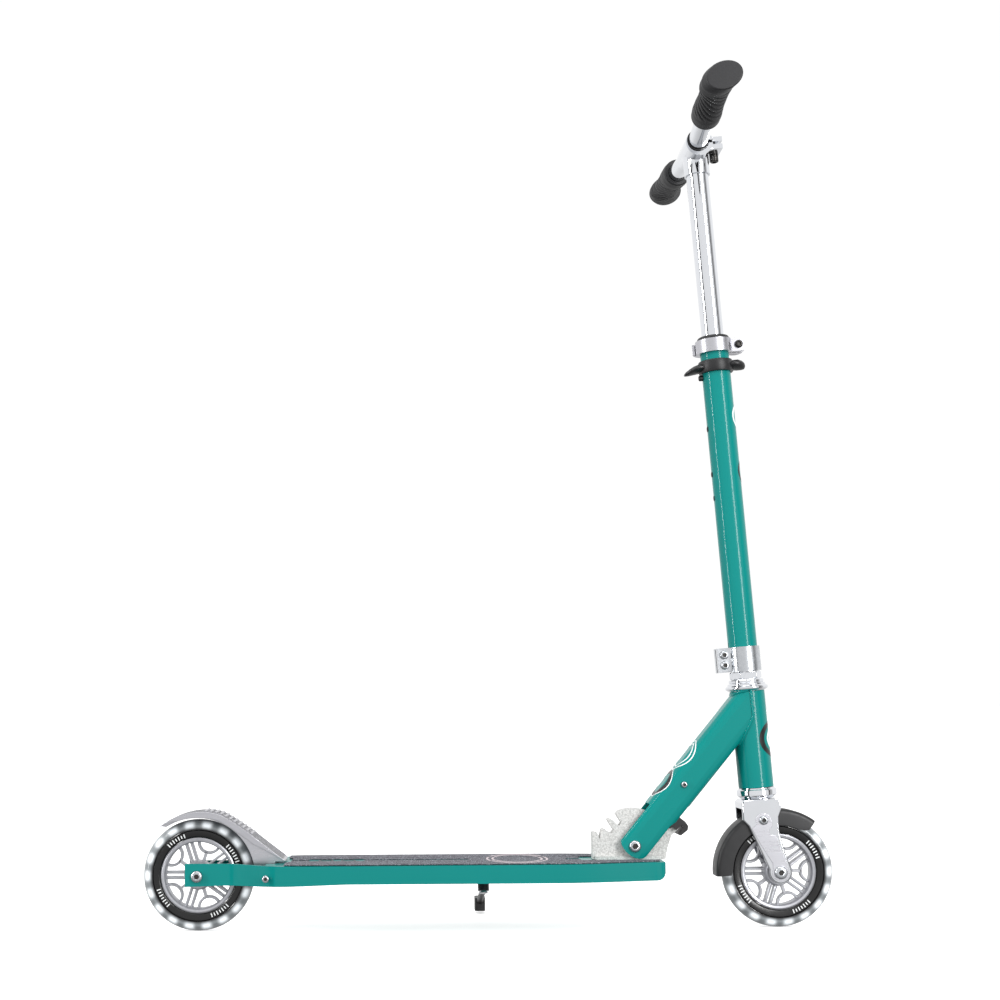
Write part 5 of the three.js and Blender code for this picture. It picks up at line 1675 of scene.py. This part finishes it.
@dataclass
class Studio:
    """Pale floor, soft lights and the camera."""

    eye: tuple[float, float, float] = (-86.15, -1700.0, 254.6)
    focal: float = 1.487  # focal length over the image's width
    pitch: float = 3.96
    roll: float = 0.387
    shift: Point = (0.09, 0.10)
    sensor: float = 36.0

    def build(self) -> None:
        """Builds the studio."""
        self.camera()
        self.floor()
        self.world()
        self.panel("side_strip", (-1500, -500, 800), (0, 0, 420), (120, 1700), 17)
        self.panel("front_panel", (1150, -1500, 850), (100, 0, 420), (330, 1700), 28)
        self.panel("top_panel", (-100, -500, 2100), (0, 0, 300), (1600, 900), 12)
        self.flag("dark_flag_left", (-1300, -900, 700), (240, 2400))
        self.flag("dark_flag_right", (1750, -700, 700), (200, 2400))

    def camera(self) -> None:
        """Sets up the camera."""
        data = bpy.data.cameras.new("camera")
        data.sensor_width = self.sensor
        data.lens = self.focal * self.sensor
        data.shift_x, data.shift_y = self.shift
        data.clip_end = 60
        camera = bpy.data.objects.new("camera", data)
        look = Matrix.Rotation(math.radians(90 + self.pitch), 4, "X")
        turn = Matrix.Rotation(math.radians(-self.roll), 4, "Z")
        camera.matrix_world = Matrix.Translation(Vector(self.eye) * MM) @ look @ turn
        bpy.context.scene.collection.objects.link(camera)
        bpy.context.scene.camera = camera
        bpy.context.scene.view_settings.view_transform = "Standard"

    def floor(self) -> None:
        """Lays a plain pale floor."""
        mesh = bmesh.new()
        bmesh.ops.create_grid(mesh, x_segments=1, y_segments=1, size=40.0)
        data = bpy.data.meshes.new("floor")
        mesh.to_mesh(data)
        mesh.free()
        made = bpy.data.materials.new("floor_pale")
        made.use_nodes = True
        shader = made.node_tree.nodes["Principled BSDF"]
        shader.inputs["Base Color"].default_value = (0.93, 0.93, 0.93, 1.0)
        shader.inputs["Roughness"].default_value = 0.9
        shader.inputs["Specular IOR Level"].default_value = 0.1
        shader.inputs["Emission Color"].default_value = (1.0, 1.0, 1.0, 1.0)
        shader.inputs["Emission Strength"].default_value = 0.5
        data.materials.append(made)
        floor = bpy.data.objects.new("floor", data)
        floor.visible_diffuse = False
        floor.visible_glossy = False
        bpy.context.scene.collection.objects.link(floor)

    def world(self) -> None:
        """Fills the studio: white behind the scooter, duller at the sides and in front."""
        world = bpy.data.worlds.new("studio_white")
        world.use_nodes = True
        tree = world.node_tree
        place = add_node(tree, "ShaderNodeTexCoord")
        way = add_node(tree, "ShaderNodeSeparateXYZ", {0: place.outputs["Generated"]})
        share = add_node(
            tree, "ShaderNodeMapRange", {"Value": way.outputs["Y"], 1: -1.0, 2: 1.0}
        )
        ramp = add_node(tree, "ShaderNodeValToRGB", {"Fac": share.outputs["Result"]})
        steps = ((0.0, 0.95), (0.2, 0.9), (0.33, 0.42), (0.42, 0.42), (0.53, 1.0), (1.0, 1.0))
        stops = ramp.color_ramp.elements
        for spot, (at, level) in enumerate(steps):
            stop = stops[spot] if spot < 2 else stops.new(at)
            stop.position = at
            stop.color = (level, level, level, 1.0)
        height = add_node(
            tree, "ShaderNodeMapRange",
            {"Value": way.outputs["Z"], 1: -0.75, 2: 0.0, 3: 0.42, 4: 1.02},
        )
        back = tree.nodes["Background"]
        tree.links.new(ramp.outputs["Color"], back.inputs["Color"])
        tree.links.new(height.outputs["Result"], back.inputs["Strength"])
        bpy.context.scene.world = world

    def panel(
        self,
        name: str,
        at: tuple[float, float, float],
        target: tuple[float, float, float],
        size: Point,
        watts: float,
    ) -> None:
        """Hangs a soft light panel, aimed at a point."""
        data = bpy.data.lights.new(name, "AREA")
        data.shape = "RECTANGLE"
        data.size, data.size_y = size[0] * MM, size[1] * MM
        data.energy = watts
        light = bpy.data.objects.new(name, data)
        aim = (Vector(target) - Vector(at)).to_track_quat("-Z", "Y")
        light.matrix_world = Matrix.Translation(Vector(at) * MM) @ aim.to_matrix().to_4x4()
        bpy.context.scene.collection.objects.link(light)

    def flag(self, name: str, at: tuple[float, float, float], size: Point) -> None:
        """Stands a dark card that only reflections see."""
        mesh = bmesh.new()
        bmesh.ops.create_grid(mesh, x_segments=1, y_segments=1, size=0.5)
        data = bpy.data.meshes.new(name)
        mesh.to_mesh(data)
        mesh.free()
        made = bpy.data.materials.new(f"{name}_cloth")
        made.use_nodes = True
        shader = made.node_tree.nodes["Principled BSDF"]
        shader.inputs["Base Color"].default_value = (0.02, 0.02, 0.02, 1.0)
        shader.inputs["Roughness"].default_value = 1.0
        data.materials.append(made)
        card = bpy.data.objects.new(name, data)
        aim = (Vector((0, 0, 450)) - Vector(at)).to_track_quat("-Z", "Y")
        scale = Matrix.Diagonal((size[0] * MM, size[1] * MM, 1, 1))
        card.matrix_world = Matrix.Translation(Vector(at) * MM) @ aim.to_matrix().to_4x4() @ scale
        card.visible_camera = False
        card.visible_diffuse = False
        card.visible_shadow = False
        card.visible_transmission = False
        bpy.context.scene.collection.objects.link(card)


# ------------------------------------------------------------------------------------- assembly


def bolts() -> list[CrossBolt]:
    """Every bolt and screw that crosses the scooter."""
    tube_frame, stem = LAYOUT.tube, LAYOUT.stem
    row = Matrix.Identity(4)
    x, z = LAYOUT.axle_x, LAYOUT.axle_z
    clamp = (234.6, 246.4)
    return [
        CrossBolt("rear_axle", Body.DECK, 4, 6.6, 20.5, -x, z, row, 3.6, 0.45),
        CrossBolt("front_axle", Body.STEERING, 4, 7.4, 19.6, x, z, row, 3.6, 0.42),
        CrossBolt("fold_pivot_bolt", Body.DECK, 5, 6.6, 20, LAYOUT.pivot_x, LAYOUT.pivot_z, row),
        CrossBolt("brake_pivot_pin", Body.DECK, 2.5, 4, 52.5, -246.5, 63, row, 2.6),
        CrossBolt("latch_guide_bolt", Body.FRAME, 2, 3.6, 20, 88.5, 0, tube_frame, 2.6),
        CrossBolt("stem_clamp_bolt_1", Body.STEERING, 2.5, 4.9, 9, -24, clamp[0], stem),
        CrossBolt("stem_clamp_bolt_2", Body.STEERING, 2.5, 4.9, 9, -24, clamp[1], stem),
        CrossBolt(
            "fender_screw_right", Body.STEERING, 2.4, 5.1, 19.6, 0.2, 58.4, stem, 3.4, 0.5,
            nut=False, left_reach=-14.2,
        ),
        CrossBolt(
            "fender_screw_left", Body.STEERING, 2.4, 5.1, 19.6, 0.2, 58.4,
            stem @ Matrix.Rotation(math.pi, 4, "Z") @ Matrix.Translation((-0.4, 0, 0)), 3.4, 0.5,
            nut=False, left_reach=-14.2,
        ),
        CrossBolt(
            "collar_bolt", Body.STEERING, 2.5, 4.6, 9, 27, 602.35, stem, 3.4, 0.5, nut=False,
            finish=BLACK_OXIDE_AND_SOCKET_SHADE,
        ),
    ]


def kickstand(shop: Workshop) -> None:
    """Builds the kickstand's leg and foot."""
    shop.refine("kickstand_leg", MOULDED_NYLON, Body.KICKSTAND, 0.4)
    shop.refine("kickstand_foot", MOULDED_NYLON, Body.KICKSTAND, 1.0)


def main() -> None:
    """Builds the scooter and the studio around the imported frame."""
    logging.basicConfig(level=logging.INFO, format="%(name)s: %(message)s")
    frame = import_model()
    shop = Workshop(frame)
    Studio().build()
    Wheel("rear", Body.REAR_WHEEL, -1).build(shop)
    Wheel("front", Body.FRONT_WHEEL, 1).build(shop)
    Deck().build(shop)
    FenderBrake().build(shop)
    FoldFrame().build(shop)
    Stem().build(shop)
    TBar().build(shop)
    kickstand(shop)
    for bolt in bolts():
        bolt.build(shop)
    LOG.info("%d pieces", len(shop.made))


if __name__ == "__main__":
    main()
